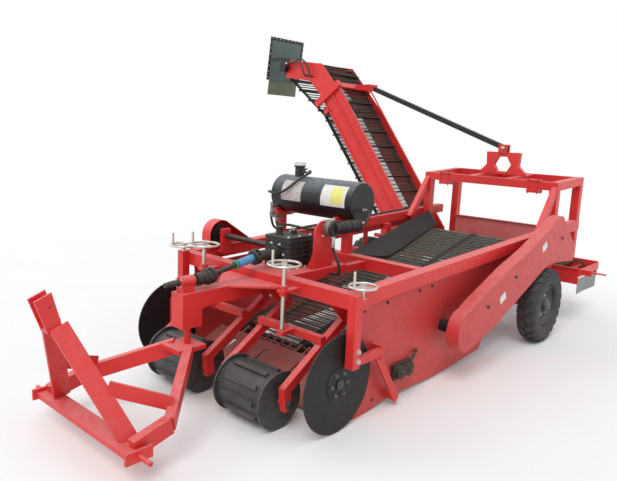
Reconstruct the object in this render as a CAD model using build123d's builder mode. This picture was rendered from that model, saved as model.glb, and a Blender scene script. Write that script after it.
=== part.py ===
"""Towed potato harvester: A-frame hitch, ridge rollers, coulter discs, digging share, rod web,
cross conveyor and a side elevator held by a stay.

Millimetres.  +X forward towards the hitch, +Y to the machine's left, +Z up.  The model is laid
out with X = 0 at the wheel axle and Y = 0 on the machine's centreline; the last lines move every
piece so that the origin is the centre of the whole machine's footprint, on the ground.
"""
import os
from math import atan2, cos, degrees, pi, radians, sin, tan

from build123d import *

os.makedirs("parts", exist_ok=True)

# ---- driving dimensions ----------------------------------------------------------------------
RUN_GAP = 6.0            # least gap between pieces that move past each other
PIN_FIT = 0.05           # radial clearance of a pin that turns in its bore
GROUND_GAP = 5.0         # rollers and discs hang this far above the ground when parked

# main frame
FRAME_FRONT = 2853.0     # front face of the front crossbeam
FRAME_TOP = 916.0        # top of the front crossbeam
FRAME_HALF = 922.0       # outer faces of the side rails
BEAM = 100.0             # crossbeam and rail box section
RAIL_SLOPE = 0.0385      # rails rise this much per unit towards the rear
RAIL_REAR = -1300.0
SECOND_BEAM_X = 1830.0
SECOND_BEAM_TOP = 930.0
DECK_REAR = 2130.0       # rear edge of the deck plate
DECK_HALF = 280.0
DECK_PLATE = 12.0
DECK_RIB = 60.0

# wheels and axle
WHEEL_RADIUS = 365.0
WHEEL_WIDTH = 185.0
WHEEL_GAP = 42.0         # between a rail and its tyre
RIM_RADIUS = 197.0
HUB_RADIUS = 60.0
HUB_HALF = 70.0
AXLE_BEAM = 80.0
AXLE_RADIUS = 28.0
AXLE_SLEEVE = 45.0

# side plates and the cases outside them
PLATE = 8.0              # side plate thickness
PLATE_INSET = 57.0       # side plates stand this far inside the rails' outer faces
PLATE_REAR = -760.0
SLOT_DROP = 34.0         # height of the slot under the rail
WINDOW_DROP = (70.0, 250.0)
CASE_GAP = 78.0          # between a rail and the chain case
CASE_WIDTH = 110.0
CASE_FRONT = (1580.0, 445.0)
CASE_MIDDLE = (330.0, 880.0)
CASE_RADIUS = 165.0
CASE_SHEET = 5.0

# rod webs
WEB_HALF = 740.0
WEB_FRONT = (2250.0, 150.0)
WEB_REAR = (-600.0, 775.0)
WEB_ROLLER = 70.0
WEB_BELT = 60.0
WEB_BELT_THICK = 12.0
WEB_PITCH = 75.0
WEB_ROD = 12.0
WEB_SHAFT = 22.0
BAFFLE_INSET = 40.0      # rubber baffle stands this far inside the web's edge
BAFFLE_THICK = 10.0

# digging share
SHARE_FRONT = (2860.0, 14.0)
SHARE_REAR = (2440.0, 200.0)
SHARE_THICK = 12.0
SHARE_SLOT = 45.0
SHARE_SLOTS_Y = (-570.0, -190.0, 190.0, 570.0)
TINE_PITCH = 90.0
TINE_LENGTH = 90.0
TINE_BAR = 14.0

# ridge rollers and their arms
DRUM_X = 3182.0
DRUM_RADIUS = 197.0
DRUM_INNER = 174.0
DRUM_OUTER = 617.0
DRUM_CORE = 168.0
DRUM_FLANGE = 12.0
DRUM_SLATS = 10
DRUM_PIN = 20.0
DRUM_SOCKET = 35.0       # depth of the bores in the roller's ends
ARM_PIVOT = (2610.0, 670.0)
ARM_KNEE = (3202.0, 300.0)
ARM_WIDTH = 50.0
ARM_DEPTH = 62.0
ARM_PIN = 16.0
ARM_INNER = 85.0         # inner arm's nearer face
ARM_GAP = 33.0           # between a roller's end and its outer arm
LUG = 12.0
TIE = (2870.0, 565.0)
TIE_BAR = 50.0
STOP_TOP = 592.0         # top of the stop that the depth screw stands on

# handwheels and depth screws
SCREW_Y = 427.0
SCREW_X = 2990.0
SCREW_RADIUS = 15.0
SCREW_LIFT = 10.0        # gap between the screw's tip and its stop
SCREW_BOSS = 28.0
DEPTH_WHEEL = 120.0
DEPTH_WHEEL_Z = 1057.0
WHEEL_RING = 9.0
WHEEL_PEG = 110.0

# coulters
DISC_X = 2943.0
DISC_RADIUS = 335.0
DISC_OFFSET = 40.0       # left disc's middle outside the side plate
DISC_OFFSET_RIGHT = 20.0
DISC_THICK = 8.0
DISC_PIN = 16.0
DISC_HUB = 110.0
SHANK = 68.0
SHANK_X = 2842.0
SHANK_BOTTOM = 446.0
SHANK_RISE = 20.0        # shanks stand this far above the front crossbeam
SHANK_INSET = 62.0       # right shank stands this far inside the rail's outer face
CLAMP = (2770.0, 830.0, 900.0)
COULTER_WHEEL = 100.0
COULTER_WHEEL_RIGHT = 115.0
COULTER_WHEEL_X = 2809.0
COULTER_WHEEL_Z = 980.0
COULTER_SCREW = 13.0

# drawbar and kingpin
DRAWBAR_FRONT = 3548.0
DRAWBAR_HALF = 63.0
DRAWBAR_TOP = 858.0
DRAWBAR_BOTTOM = 750.0
DRAWBAR_HEAD = 158.0
GUSSET_HALF = 300.0
GUSSET_PLATE = 14.0
KINGPIN_X = 3465.0
KINGPIN_RADIUS = 23.0
KING_PLATE = (470.0, 500.0)
KING_COLLAR = 16.0
HEAD_BOTTOM = 620.0

# hitch
HITCH_BEAM_X = 4190.0
HITCH_BEAM_Z = 180.0
HITCH_BEAM_WIDE = 120.0
HITCH_BEAM_THICK = 34.0
HITCH_HALF = 560.0
HITCH_END = (84.0, 70.0, 18.0)
LEG_FOOT = (4150.0, 400.0, 190.0)
LEG_HEAD = (4372.0, 46.0, 822.0)
LEG_WIDE = 110.0
LEG_THICK = 18.0
ARM_BEND = (3950.0, 490.0, 260.0)
ARM_BAR = (60.0, 100.0)
BRACE = ((4205.0, 262.0, 480.0), (3890.0, 432.0, 345.0))
BRACE_BAR = (20.0, 85.0)
LINK_PIN_RADIUS = 14.0
LINK_PIN_LENGTH = 105.0
TOP_LINK = (4416.0, 935.0)
TOP_HOLE = 12.75
TOP_GAP = 60.0
TOP_PLATE = 14.0

# driveline
PTO_Z = 925.0
PTO_BEARING_X = (3425.0, 3535.0)
PTO_BEARING = 42.0
PTO_SHAFT = 25.0
PTO_STUB = (17.5, 110.0)
JOINT_FRONT_X = 3295.0
JOINT_REAR_X = 2835.0
JOINT_RADIUS = 50.0
TUBE_RADIUS = 19.0
SLEEVE_RADIUS = 30.0
SLEEVE_LENGTH = 150.0
GEARBOX_X = (2350.0, 2650.0)
GEARBOX_HALF = 130.0
GEARBOX_TOP = 1150.0
INPUT_Z = 1020.0
INPUT_HOUSING = 60.0
CROSS_SHAFT = (2500.0, 1030.0)
CROSS_SHAFT_RADIUS = 22.0
BELT_CASE_RADIUS = 128.0
BELT_CASE_Y = (5.0, 115.0)   # distances inside the right rail's outer face
BELT_CASE_REAR = 2150.0

# oil tank, valve block and pump
TANK_X = 1863.0
TANK_Z = 1381.0
TANK_RADIUS = 168.0
TANK_Y = (-700.0, 212.0)
TANK_POST = 70.0
SADDLES = (-660.0, 40.0)
SADDLE = 40.0
FILTER_Y = -510.0
FILTER_RADIUS = 42.0
FILTER_CAP = 50.0
FILTER_RISE = (76.0, 116.0)
VALVE = (80.0, 84.0, 140.0)
VALVE_Z = 1150.0
PUMP = (2385.0, 250.0, 1225.0)
PUMP_PLATE = 12.0
PUMP_HALF = 112.0
PUMP_BODY = 46.0
PUMP_FLANGE = 62.0
PUMP_REACH = 300.0
HOSE = 11.0
HEAD_HOSE = 12.0

# gantry and mast
GANTRY_FRONT = -837.0
GANTRY_REAR = -1551.0
GANTRY_TOP = 1514.0      # top of the front beam
GANTRY_SLOPE = 0.055     # the gantry's top rises this much per unit towards the rear
GANTRY_TUBE = 90.0
POST_FOOT = 525.0        # foot of the rear posts
CARRIER = (195.0, 265.0) # inner and outer faces of the beams that carry the mast
CLAMP_PLATE = (550.0, 140.0, 12.0)
CLAMP_PAD = 40.0
MAST_TOP = 1800.0
MAST_PIN_Z = 1850.0
MAST_HALF = 280.0
MAST_DEPTH = 60.0
STAY_TUBE = 60.0
STAY_PIN = 14.0
STAY_EYE = (-2020.0, 2580.0)
STAY_TAIL = 45.0         # the stay ends this far beyond its eye
STAY_LUG = 12.0

# cross conveyor
CROSS_FRONT = -850.0
CROSS_REAR = -1474.0
CROSS_TAIL = 925.0
CROSS_HEAD = -660.0
CROSS_TOP = 600.0
CROSS_ROLLER = 70.0
CHANNEL = 6.0
CHANNEL_DROP = 75.0
CHANNEL_RISE = 100.0
TAKE_UP_REACH = 200.0
PANEL_TOP = 940.0

# elevator
ELEV_FRONT = -800.0      # outer face of the elevator's front panel
ELEV_REAR = -1500.0
ELEV_FOOT = (-926.0, 489.0)
ELEV_HALF = 170.0        # half the depth of the inclined panels
ELEV_ANGLE = 126.9       # direction of the incline, from +Y towards +Z
ELEV_JOINT = 2520.0      # distance from the foot to the flange between incline and head
ELEV_TURN = 2853.0       # distance from the foot to the roller where the web levels out
HEAD_END = (-3330.0, 2850.0)
HEAD_HALF = 130.0
ELEV_ROLLER = 75.0
IDLERS = ((420.0, -190.0), (2350.0, -215.0))
ELEV_PITCH = 62.0
FLIGHT_STEP = 4          # every fourth rod carries a flight
FLIGHT = 34.0
PANEL = 8.0
BELT_GAP = 12.0
RIB = 12.0
RIB_WIDTH = 24.0
RIB_START = 170.0
FLANGE_BAR = 50.0
FLANGE_HALF = 45.0
YOKE = (140.0, 175.0)    # lower and upper face of the bar across the channel
PIVOT = 30.0
BEARING_PLATE = 14.0
MOTOR = (60.0, 90.0)

# curtain at the elevator's head
CURTAIN_Y = -3700.0
CURTAIN_Z = (2700.0, 3330.0)
CURTAIN_TILT = 7.0
CURTAIN_THICK = 6.0
CURTAIN_RAIL = 40.0
FLAP_DROP = 215.0

# ---- shared places ---------------------------------------------------------------------------
SIDES = (("left", 1), ("right", -1))
RAIL_INNER = FRAME_HALF - BEAM
PLATE_OUTER = FRAME_HALF - PLATE_INSET
PLATE_INNER = PLATE_OUTER - PLATE
WHEEL_Y = FRAME_HALF + WHEEL_GAP + WHEEL_WIDTH / 2
ARM_OUTER = DRUM_OUTER + ARM_GAP
LUGS = (ARM_INNER - RUN_GAP - LUG, ARM_OUTER + ARM_WIDTH + RUN_GAP)
DRUM_Z = DRUM_RADIUS + GROUND_GAP
DISC_Z = DISC_RADIUS + GROUND_GAP
DISC_PLACES = (PLATE_OUTER + DISC_OFFSET, PLATE_OUTER + DISC_OFFSET_RIGHT)
CASE_INNER = FRAME_HALF + CASE_GAP
CASE_OUTER = CASE_INNER + CASE_WIDTH
CROSS_MID = CROSS_TOP - CROSS_ROLLER - WEB_BELT_THICK
GANTRY_HALF = RAIL_INNER
POST_INNER = GANTRY_HALF - GANTRY_TUBE
MAST_X = (GANTRY_FRONT + GANTRY_REAR) / 2
LUG_GAP = STAY_TUBE / 2 + RUN_GAP


def rail_top(x):
    """Height of the side rails' top face."""
    return FRAME_TOP + (FRAME_FRONT - x) * RAIL_SLOPE


def rail_bottom(x):
    return rail_top(x) - BEAM


def gantry_top(x):
    """Height of the gantry's top, which rises towards the rear."""
    return GANTRY_TOP + (GANTRY_FRONT - x) * GANTRY_SLOPE


def incline(along, above):
    """(Y, Z) of a point on the elevator, along its incline from the foot and above its centre."""
    turn = radians(ELEV_ANGLE)
    return (
        ELEV_FOOT[0] + along * cos(turn) + above * sin(turn),
        ELEV_FOOT[1] + along * sin(turn) - above * cos(turn),
    )


def span(centre, half):
    return (centre - half, centre + half)


def between(side, low, high):
    """Y range of something on one side, given by its distances from the centreline."""
    return (low, high) if side > 0 else (-high, -low)


# ---- shapes that many pieces use ---------------------------------------------------------------
def slab(points, low, high, across="y", mode=Mode.ADD):
    """A flat outline made solid between two heights of the axis that it lies across."""
    planes = {
        "x": Plane.YZ.offset(low),
        "y": Plane.XZ.offset(-high),
        "z": Plane.XY.offset(low),
    }
    with BuildSketch(planes[across]) as outline:
        Polygon(*points, align=None)
    extrude(outline.sketch, amount=high - low, mode=mode)


def block(x, y, z, mode=Mode.ADD):
    """A box given by its low and high X, Y and Z."""
    with BuildSketch(Plane.XY.offset(z[0])) as base:
        with Locations(((x[0] + x[1]) / 2, (y[0] + y[1]) / 2)):
            Rectangle(x[1] - x[0], y[1] - y[0])
    extrude(base.sketch, amount=z[1] - z[0], mode=mode)


def bar(start, end, width, depth, up=(0, 0, 1)):
    """A rectangular bar from start to end: depth is measured towards up, width across it."""
    run = Vector(*end) - Vector(*start)
    with BuildSketch(Plane(start, x_dir=Vector(*up).cross(run), z_dir=run)) as section:
        Rectangle(width, depth)
    extrude(section.sketch, amount=run.length)


def rod(start, end, radius, mode=Mode.ADD):
    """A round bar from start to end."""
    run = Vector(*end) - Vector(*start)
    with BuildSketch(Plane(start, z_dir=run)) as section:
        Circle(radius)
    extrude(section.sketch, amount=run.length, mode=mode)


def hose(points, radius):
    """A hose held at both ends: straight runs joined by bends as wide as the runs allow."""
    corners = [Vector(*point) for point in points]
    bends = []
    for before, here, after in zip(corners, corners[1:], corners[2:]):
        turn = radians((here - before).get_angle(after - here))
        shorter = min((here - before).length, (after - here).length)
        bends.append(0.45 * shorter / tan(turn / 2))
    with BuildLine() as route:
        FilletPolyline(*corners, radius=bends)
    with BuildSketch(Plane(corners[0], z_dir=corners[1] - corners[0])) as section:
        Circle(radius)
    sweep(section.sketch, path=route.line)


def path_places(centres, radius, pitch):
    """Places (point, turn) at an even pitch along the band round some rollers, in loop order."""
    places = []
    for k, here in enumerate(centres):
        ahead = centres[(k + 1) % len(centres)]
        behind = centres[k - 1]
        run = Vector(*ahead) - Vector(*here)
        came = Vector(*here) - Vector(*behind)
        turn = atan2(run.Y, run.X)
        away = Vector(sin(turn), -cos(turn))
        bend = (turn - atan2(came.Y, came.X)) % (2 * pi)
        round_count = int(radius * bend / pitch) if bend <= pi + PIN_FIT else 0
        for step in range(round_count):
            at = turn - bend * (step + 1) / (round_count + 1)
            point = Vector(*here) + Vector(sin(at), -cos(at)) * radius
            places.append((point.X, point.Y, degrees(at)))
        count = int(run.length / pitch)
        for step in range(count + 1):
            point = Vector(*here) + run * ((step + 0.5) / (count + 1)) + away * radius
            places.append((point.X, point.Y, degrees(turn)))
    return places


def band(centres, radius, thick, low, high, across="y"):
    """A closed band round some rollers, between two heights of the axis that they turn about."""
    plane = Plane.XZ.offset(-high) if across == "y" else Plane.YZ.offset(low)
    for size, mode in ((radius + thick, Mode.ADD), (radius, Mode.SUBTRACT)):
        with BuildSketch(plane) as outline:
            if len(centres) > 2:
                Polygon(*centres, align=None)
                offset(amount=size)
            else:
                run = Vector(*centres[1]) - Vector(*centres[0])
                middle = (Vector(*centres[0]) + Vector(*centres[1])) / 2
                turn = degrees(atan2(run.Y, run.X))
                with Locations(Location((middle.X, middle.Y, 0), (0, 0, turn))):
                    SlotCenterToCenter(run.length, 2 * size)
        extrude(outline.sketch, amount=high - low, mode=mode)


def cross_rods(places, tall, low, high, across="y", rise=0.0):
    """Bars of a web at the given places, between two heights of the axis that they lie along."""
    with BuildSketch(Plane.XZ.offset(-high) if across == "y" else Plane.YZ.offset(low)) as rods:
        for x, y, turn in places:
            with Locations(Location((x, y, 0), (0, 0, turn))):
                with Locations((0, -rise)):
                    Rectangle(WEB_ROD, tall)
    extrude(rods.sketch, amount=high - low)


def handwheel(x, y, z, radius):
    """A spoked rim with a hub and an upright handle peg."""
    with BuildSketch(Plane.XZ) as ring:
        with Locations((radius - WHEEL_RING, 0)):
            Circle(WHEEL_RING)
    wheel = revolve(ring.sketch, axis=Axis.Z, mode=Mode.PRIVATE)
    add(wheel.moved(Location((x, y, z))))
    for k in range(3):
        turn = radians(90 + 120 * k)
        reach = radius - WHEEL_RING
        bar((x, y, z), (x + reach * cos(turn), y + reach * sin(turn), z), 16, 8)
    rod((x, y, z - 16), (x, y, z + 16), 22)
    rod((x + radius - WHEEL_RING, y, z), (x + radius - WHEEL_RING, y, z + WHEEL_PEG), WHEEL_RING)


pieces = []


def keep(builder, name):
    """Name a finished piece and remember it for export."""
    builder.part.label = name
    pieces.append(builder.part)

# ---- main frame --------------------------------------------------------------------------------
with BuildPart() as main_frame:
    block((FRAME_FRONT - BEAM, FRAME_FRONT), span(0, FRAME_HALF), (FRAME_TOP - BEAM, FRAME_TOP))
    rail_front = FRAME_FRONT - BEAM
    rail = [
        (rail_front, rail_bottom(rail_front)),
        (rail_front, rail_top(rail_front)),
        (RAIL_REAR, rail_top(RAIL_REAR)),
        (RAIL_REAR, rail_bottom(RAIL_REAR)),
    ]
    for name, side in SIDES:
        slab(rail, *between(side, RAIL_INNER, FRAME_HALF))
    block(span(SECOND_BEAM_X, BEAM / 2), span(0, RAIL_INNER), (SECOND_BEAM_TOP - BEAM, SECOND_BEAM_TOP))
    deck_low = FRAME_TOP - DECK_PLATE
    for name, side in SIDES:
        block((SECOND_BEAM_X + BEAM / 2, rail_front), between(side, DECK_HALF - DECK_RIB, DECK_HALF),
              (deck_low - DECK_RIB, deck_low))
    block((DECK_REAR, rail_front), span(0, DECK_HALF), (deck_low, FRAME_TOP))
    for name, side in SIDES:
        for y in LUGS:
            lug = [
                (FRAME_FRONT - 10, FRAME_TOP - BEAM),
                (rail_front, FRAME_TOP - BEAM),
                (ARM_PIVOT[0] - 40, ARM_PIVOT[1] + 30),
                (ARM_PIVOT[0] - 40, ARM_PIVOT[1] - 34),
                (ARM_PIVOT[0] + 40, ARM_PIVOT[1] - 34),
            ]
            slab(lug, *between(side, y, y + LUG))
            pin = (y, y + LUG + RUN_GAP + ARM_WIDTH) if y < ARM_OUTER else (ARM_OUTER, y + LUG)
            rod((ARM_PIVOT[0], side * pin[0], ARM_PIVOT[1]),
                (ARM_PIVOT[0], side * pin[1], ARM_PIVOT[1]), ARM_PIN)
keep(main_frame, "main_frame")

# ---- drawbar and kingpin -----------------------------------------------------------------------
with BuildPart() as drawbar:
    block((FRAME_FRONT, DRAWBAR_FRONT), span(0, DRAWBAR_HALF), (DRAWBAR_BOTTOM, DRAWBAR_TOP))
    block((DRAWBAR_FRONT - DRAWBAR_HEAD, DRAWBAR_FRONT), span(0, DRAWBAR_HALF),
          (HEAD_BOTTOM, DRAWBAR_BOTTOM))
    gusset = [
        (FRAME_FRONT, -GUSSET_HALF),
        (FRAME_FRONT + 60, -GUSSET_HALF),
        (FRAME_FRONT + 300, -DRAWBAR_HALF),
        (FRAME_FRONT + 300, DRAWBAR_HALF),
        (FRAME_FRONT + 60, GUSSET_HALF),
        (FRAME_FRONT, GUSSET_HALF),
    ]
    slab(gusset, DRAWBAR_TOP - GUSSET_PLATE, DRAWBAR_TOP, "z")
keep(drawbar, "drawbar")

king_low = KING_PLATE[0] - 30
with BuildPart() as kingpin:
    rod((KINGPIN_X, 0, king_low), (KINGPIN_X, 0, HEAD_BOTTOM), KINGPIN_RADIUS)
    rod((KINGPIN_X, 0, king_low), (KINGPIN_X, 0, KING_PLATE[0] - RUN_GAP), KINGPIN_RADIUS + KING_COLLAR)
keep(kingpin, "kingpin")

# ---- hitch frame -------------------------------------------------------------------------------
def mirrored(point, side):
    return (point[0], side * point[1], point[2])


with BuildPart() as hitch_frame:
    block(span(HITCH_BEAM_X, HITCH_BEAM_WIDE / 2), span(0, HITCH_HALF),
          span(HITCH_BEAM_Z, HITCH_BEAM_THICK / 2))
    arm_start = (HITCH_BEAM_X, ARM_BEND[1], HITCH_BEAM_Z + 20)
    arm_end = (KINGPIN_X + 40, 70.0, KING_PLATE[0])
    clevis = [
        (TOP_LINK[0] + 13, TOP_LINK[1] - 152),
        (TOP_LINK[0] + 84, TOP_LINK[1] + 44),
        (TOP_LINK[0] - 13, TOP_LINK[1] + 82),
        (TOP_LINK[0] - 70, TOP_LINK[1] - 125),
    ]
    for name, side in SIDES:
        block(span(HITCH_BEAM_X, HITCH_END[0]), between(side, HITCH_HALF - HITCH_END[2], HITCH_HALF),
              (HITCH_BEAM_Z - 30, HITCH_BEAM_Z - 30 + HITCH_END[1]))
        rod((HITCH_BEAM_X, side * HITCH_HALF, HITCH_BEAM_Z),
            (HITCH_BEAM_X, side * (HITCH_HALF + LINK_PIN_LENGTH), HITCH_BEAM_Z), LINK_PIN_RADIUS)
        bar(mirrored(LEG_FOOT, side), mirrored(LEG_HEAD, side), LEG_WIDE, LEG_THICK, up=(0, side, 0))
        bar(mirrored(arm_start, side), mirrored(ARM_BEND, side), *ARM_BAR)
        bar(mirrored(ARM_BEND, side), mirrored(arm_end, side), *ARM_BAR)
        bar(mirrored(BRACE[0], side), mirrored(BRACE[1], side), *BRACE_BAR)
        slab(clevis, *between(side, TOP_GAP / 2, TOP_GAP / 2 + TOP_PLATE))
    slab([(clevis[3][0], clevis[3][1]), (clevis[0][0], clevis[0][1]),
          (clevis[0][0] + 7, clevis[0][1] + 18), (clevis[3][0] + 5, clevis[3][1] + 18)],
         *span(0, TOP_GAP / 2))
    block((KINGPIN_X - 80, KINGPIN_X + 140), span(0, 105), KING_PLATE)
    rod((TOP_LINK[0], -TOP_GAP, TOP_LINK[1]), (TOP_LINK[0], TOP_GAP, TOP_LINK[1]), TOP_HOLE,
        mode=Mode.SUBTRACT)
    rod((KINGPIN_X, 0, KING_PLATE[0] - 20), (KINGPIN_X, 0, KING_PLATE[1] + 20),
        KINGPIN_RADIUS + PIN_FIT, mode=Mode.SUBTRACT)
keep(hitch_frame, "hitch_frame")

# ---- side plates -------------------------------------------------------------------------------
PLATE_OUTLINE = [
    (2720, 0),
    (2740, 650),
    (FRAME_FRONT - BEAM, rail_bottom(FRAME_FRONT - BEAM)),
    (PLATE_REAR, rail_bottom(PLATE_REAR)),
    (PLATE_REAR, 600),
    (-300, 450),
    (300, 430),
    (700, 300),
    (860, 60),
    (1370, 30),
    (1690, 20),
    (2320, 40),
    (2600, 0),
]
SLOTS = ((2450, 1320), (1150, 560))
WINDOWS = ((720, 980), (380, 640), (40, 300), (-300, -40))
for name, side in SIDES:
    with BuildPart() as side_plate:
        faces = between(side, PLATE_INNER, PLATE_OUTER)
        slab(PLATE_OUTLINE, *faces)
        for front, rear in SLOTS:
            slot = [
                (front, rail_bottom(front) - 4),
                (rear, rail_bottom(rear) - 4),
                (rear, rail_bottom(rear) - SLOT_DROP),
                (front, rail_bottom(front) - SLOT_DROP),
            ]
            slab(slot, *faces, mode=Mode.SUBTRACT)
        if side < 0:
            for low, high in WINDOWS:
                window = [
                    (low, rail_bottom(low) - WINDOW_DROP[0]),
                    (high, rail_bottom(high) - WINDOW_DROP[0]),
                    (high, rail_bottom(high) - WINDOW_DROP[1]),
                    (low, rail_bottom(low) - WINDOW_DROP[1]),
                ]
                slab(window, *faces, mode=Mode.SUBTRACT)
    keep(side_plate, f"side_plate_{name}")

with BuildPart() as side_shakers:
    for name, side in SIDES:
        for x in (2110, 2220):
            rod((x, side * PLATE_OUTER, 225), (x, side * (PLATE_OUTER + 62), 225), 52)
        block((2050, 2280), between(side, PLATE_OUTER, PLATE_OUTER + 30), (165, 285))
keep(side_shakers, "side_shakers")

# ---- digging share -----------------------------------------------------------------------------
share_turn = atan2(SHARE_REAR[1] - SHARE_FRONT[1], SHARE_FRONT[0] - SHARE_REAR[0])
with BuildPart() as digging_share:
    blade = [
        SHARE_FRONT,
        (SHARE_FRONT[0] - 20, SHARE_FRONT[1] + 16),
        SHARE_REAR,
        (SHARE_REAR[0] - SHARE_THICK * sin(share_turn), SHARE_REAR[1] - SHARE_THICK * cos(share_turn)),
        (SHARE_FRONT[0] - 40, SHARE_FRONT[1] - 4),
    ]
    slab(blade, *span(0, PLATE_INNER))
    for y in SHARE_SLOTS_Y:
        block((SHARE_REAR[0] + 80, SHARE_FRONT[0] - 140), span(y, SHARE_SLOT / 2), (-50, 400),
              mode=Mode.SUBTRACT)
    tines = int((2 * PLATE_INNER - 100) / TINE_PITCH)
    for k in range(tines + 1):
        y = (k - tines / 2) * TINE_PITCH
        bar((SHARE_REAR[0] + 30, y, SHARE_REAR[1] - 22),
            (SHARE_REAR[0] - TINE_LENGTH, y, SHARE_REAR[1] + 30), TINE_BAR, TINE_BAR)
keep(digging_share, "digging_share")

# ---- main rod web ------------------------------------------------------------------------------
web_ends = (WEB_FRONT, WEB_REAR)
web_line = WEB_ROLLER + WEB_BELT_THICK / 2
with BuildPart() as main_web:
    for low in (-WEB_HALF, -WEB_BELT / 2, WEB_HALF - WEB_BELT):
        band(web_ends, WEB_ROLLER, WEB_BELT_THICK, low, low + WEB_BELT)
    cross_rods(path_places(web_ends, web_line, WEB_PITCH), WEB_ROD, *span(0, WEB_HALF - 5))
keep(main_web, "main_web")

with BuildPart() as web_shafts:
    web_run = Vector(*WEB_REAR) - Vector(*WEB_FRONT)
    for share_of_run in (0.0, 0.36, 0.7, 1.0):
        at = Vector(*WEB_FRONT) + web_run * share_of_run
        rod((at.X, -PLATE_INNER, at.Y), (at.X, PLATE_INNER, at.Y), WEB_SHAFT)
        for low in (-WEB_HALF, -WEB_BELT / 2, WEB_HALF - WEB_BELT):
            rod((at.X, low, at.Y), (at.X, low + WEB_BELT, at.Y), WEB_ROLLER - 1)
keep(web_shafts, "web_shafts")

baffle_y = BAFFLE_INSET - WEB_HALF
with BuildPart() as rubber_baffle:
    slab([(840, 680), (-740, 1050), (-740, 880), (-600, 865), (430, 650)],
         baffle_y - BAFFLE_THICK, baffle_y)
keep(rubber_baffle, "rubber_baffle")

with BuildPart() as baffle_brackets:
    for x, z in ((640, 700), (160, 800), (-560, 912)):
        block(span(x, 20), (-PLATE_INNER, baffle_y - BAFFLE_THICK), span(z, 20))
keep(baffle_brackets, "baffle_brackets")

# ---- chain case on the left and belt case on the right -----------------------------------------
CASE_REAR = (WEB_REAR[0] + 90, WEB_REAR[1] + 45)
CASE_OUTLINE = [
    (1500, 650), (920, 860), (500, 975), (110, 1120), (-90, 1220), (-230, 1230), (-660, 890),
    (-640, 735), (-160, 775), (80, 767), (690, 545), (1130, 380), (1500, 300), (1690, 350),
    (1690, 560),
]
with BuildPart() as chain_case:
    with BuildSketch(Plane.XZ.offset(-CASE_OUTER)) as case_face:
        with Locations(CASE_FRONT):
            Circle(CASE_RADIUS)
        Polygon(*CASE_OUTLINE, align=None)
    extrude(case_face.sketch, amount=CASE_WIDTH)
    with BuildSketch(Plane.XZ.offset(CASE_SHEET - CASE_OUTER)) as case_hollow:
        add(case_face.sketch_local)
        offset(amount=-CASE_SHEET)
    extrude(case_hollow.sketch, amount=CASE_WIDTH, mode=Mode.SUBTRACT)
    for x, z in (CASE_FRONT, CASE_REAR, CASE_MIDDLE):
        rod((x, CASE_INNER, z), (x, CASE_OUTER - 1, z), 26)
keep(chain_case, "chain_case")

with BuildPart() as case_mounts:
    for (x, z), radius in ((CASE_FRONT, 50), (CASE_REAR, 50), (CASE_MIDDLE, 20)):
        rod((x, PLATE_OUTER, z), (x, CASE_INNER, z), radius)
keep(case_mounts, "case_mounts")

stand_y = (-RAIL_INNER, -RAIL_INNER + 80)
belt_y = (-FRAME_HALF + BELT_CASE_Y[0], -FRAME_HALF + BELT_CASE_Y[1])
with BuildPart() as belt_case:
    with BuildSketch(Plane.XZ.offset(-belt_y[1])) as belt_face:
        with Locations(CROSS_SHAFT):
            Circle(BELT_CASE_RADIUS)
        Polygon((CROSS_SHAFT[0] + BELT_CASE_RADIUS, CROSS_SHAFT[1]),
                (CROSS_SHAFT[0] - 50, CROSS_SHAFT[1] + BELT_CASE_RADIUS - 10),
                (BELT_CASE_REAR, rail_top(BELT_CASE_REAR) + 14),
                (BELT_CASE_REAR, rail_top(BELT_CASE_REAR)),
                (CROSS_SHAFT[0] + BELT_CASE_RADIUS, rail_top(CROSS_SHAFT[0] + BELT_CASE_RADIUS)),
                align=None)
        with BuildSketch(mode=Mode.SUBTRACT):
            Polygon((3000, rail_top(3000)), (1900, rail_top(1900)), (1900, 500), (3000, 500),
                    align=None)
    extrude(belt_face.sketch, amount=belt_y[1] - belt_y[0])
    with BuildSketch(Plane.XZ.offset(-belt_y[1])) as belt_hollow:
        add(belt_face.sketch_local)
        offset(amount=-CASE_SHEET)
    extrude(belt_hollow.sketch, amount=belt_y[1] - belt_y[0] - CASE_SHEET, mode=Mode.SUBTRACT)
    block(span(CROSS_SHAFT[0], 45), stand_y, (FRAME_TOP - 34, FRAME_TOP - 14))
    block(span(CROSS_SHAFT[0], 45), (stand_y[1] - 36, stand_y[1]), (FRAME_TOP - 14, CROSS_SHAFT[1] + 60))
    rod((CROSS_SHAFT[0], -RAIL_INNER, CROSS_SHAFT[1]), (CROSS_SHAFT[0], stand_y[1] + 20, CROSS_SHAFT[1]),
        CROSS_SHAFT_RADIUS + PIN_FIT, mode=Mode.SUBTRACT)
keep(belt_case, "belt_case")

# ---- gearbox and driveline ---------------------------------------------------------------------
with BuildPart() as gearbox:
    block(GEARBOX_X, span(0, GEARBOX_HALF), (FRAME_TOP, GEARBOX_TOP))
    fillet(gearbox.edges().filter_by(Axis.Z), 30)
    rod((GEARBOX_X[1], 0, INPUT_Z), (GEARBOX_X[1] + 50, 0, INPUT_Z), INPUT_HOUSING)
    for k in range(3):
        x = GEARBOX_X[0] + 60 + 90 * k
        block(span(x, 7), span(0, GEARBOX_HALF + 12), (FRAME_TOP, GEARBOX_TOP - 20))
    rod((GEARBOX_X[0] + 105, 0, GEARBOX_TOP), (GEARBOX_X[0] + 105, 0, GEARBOX_TOP + 30), 24)
keep(gearbox, "gearbox")

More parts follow.
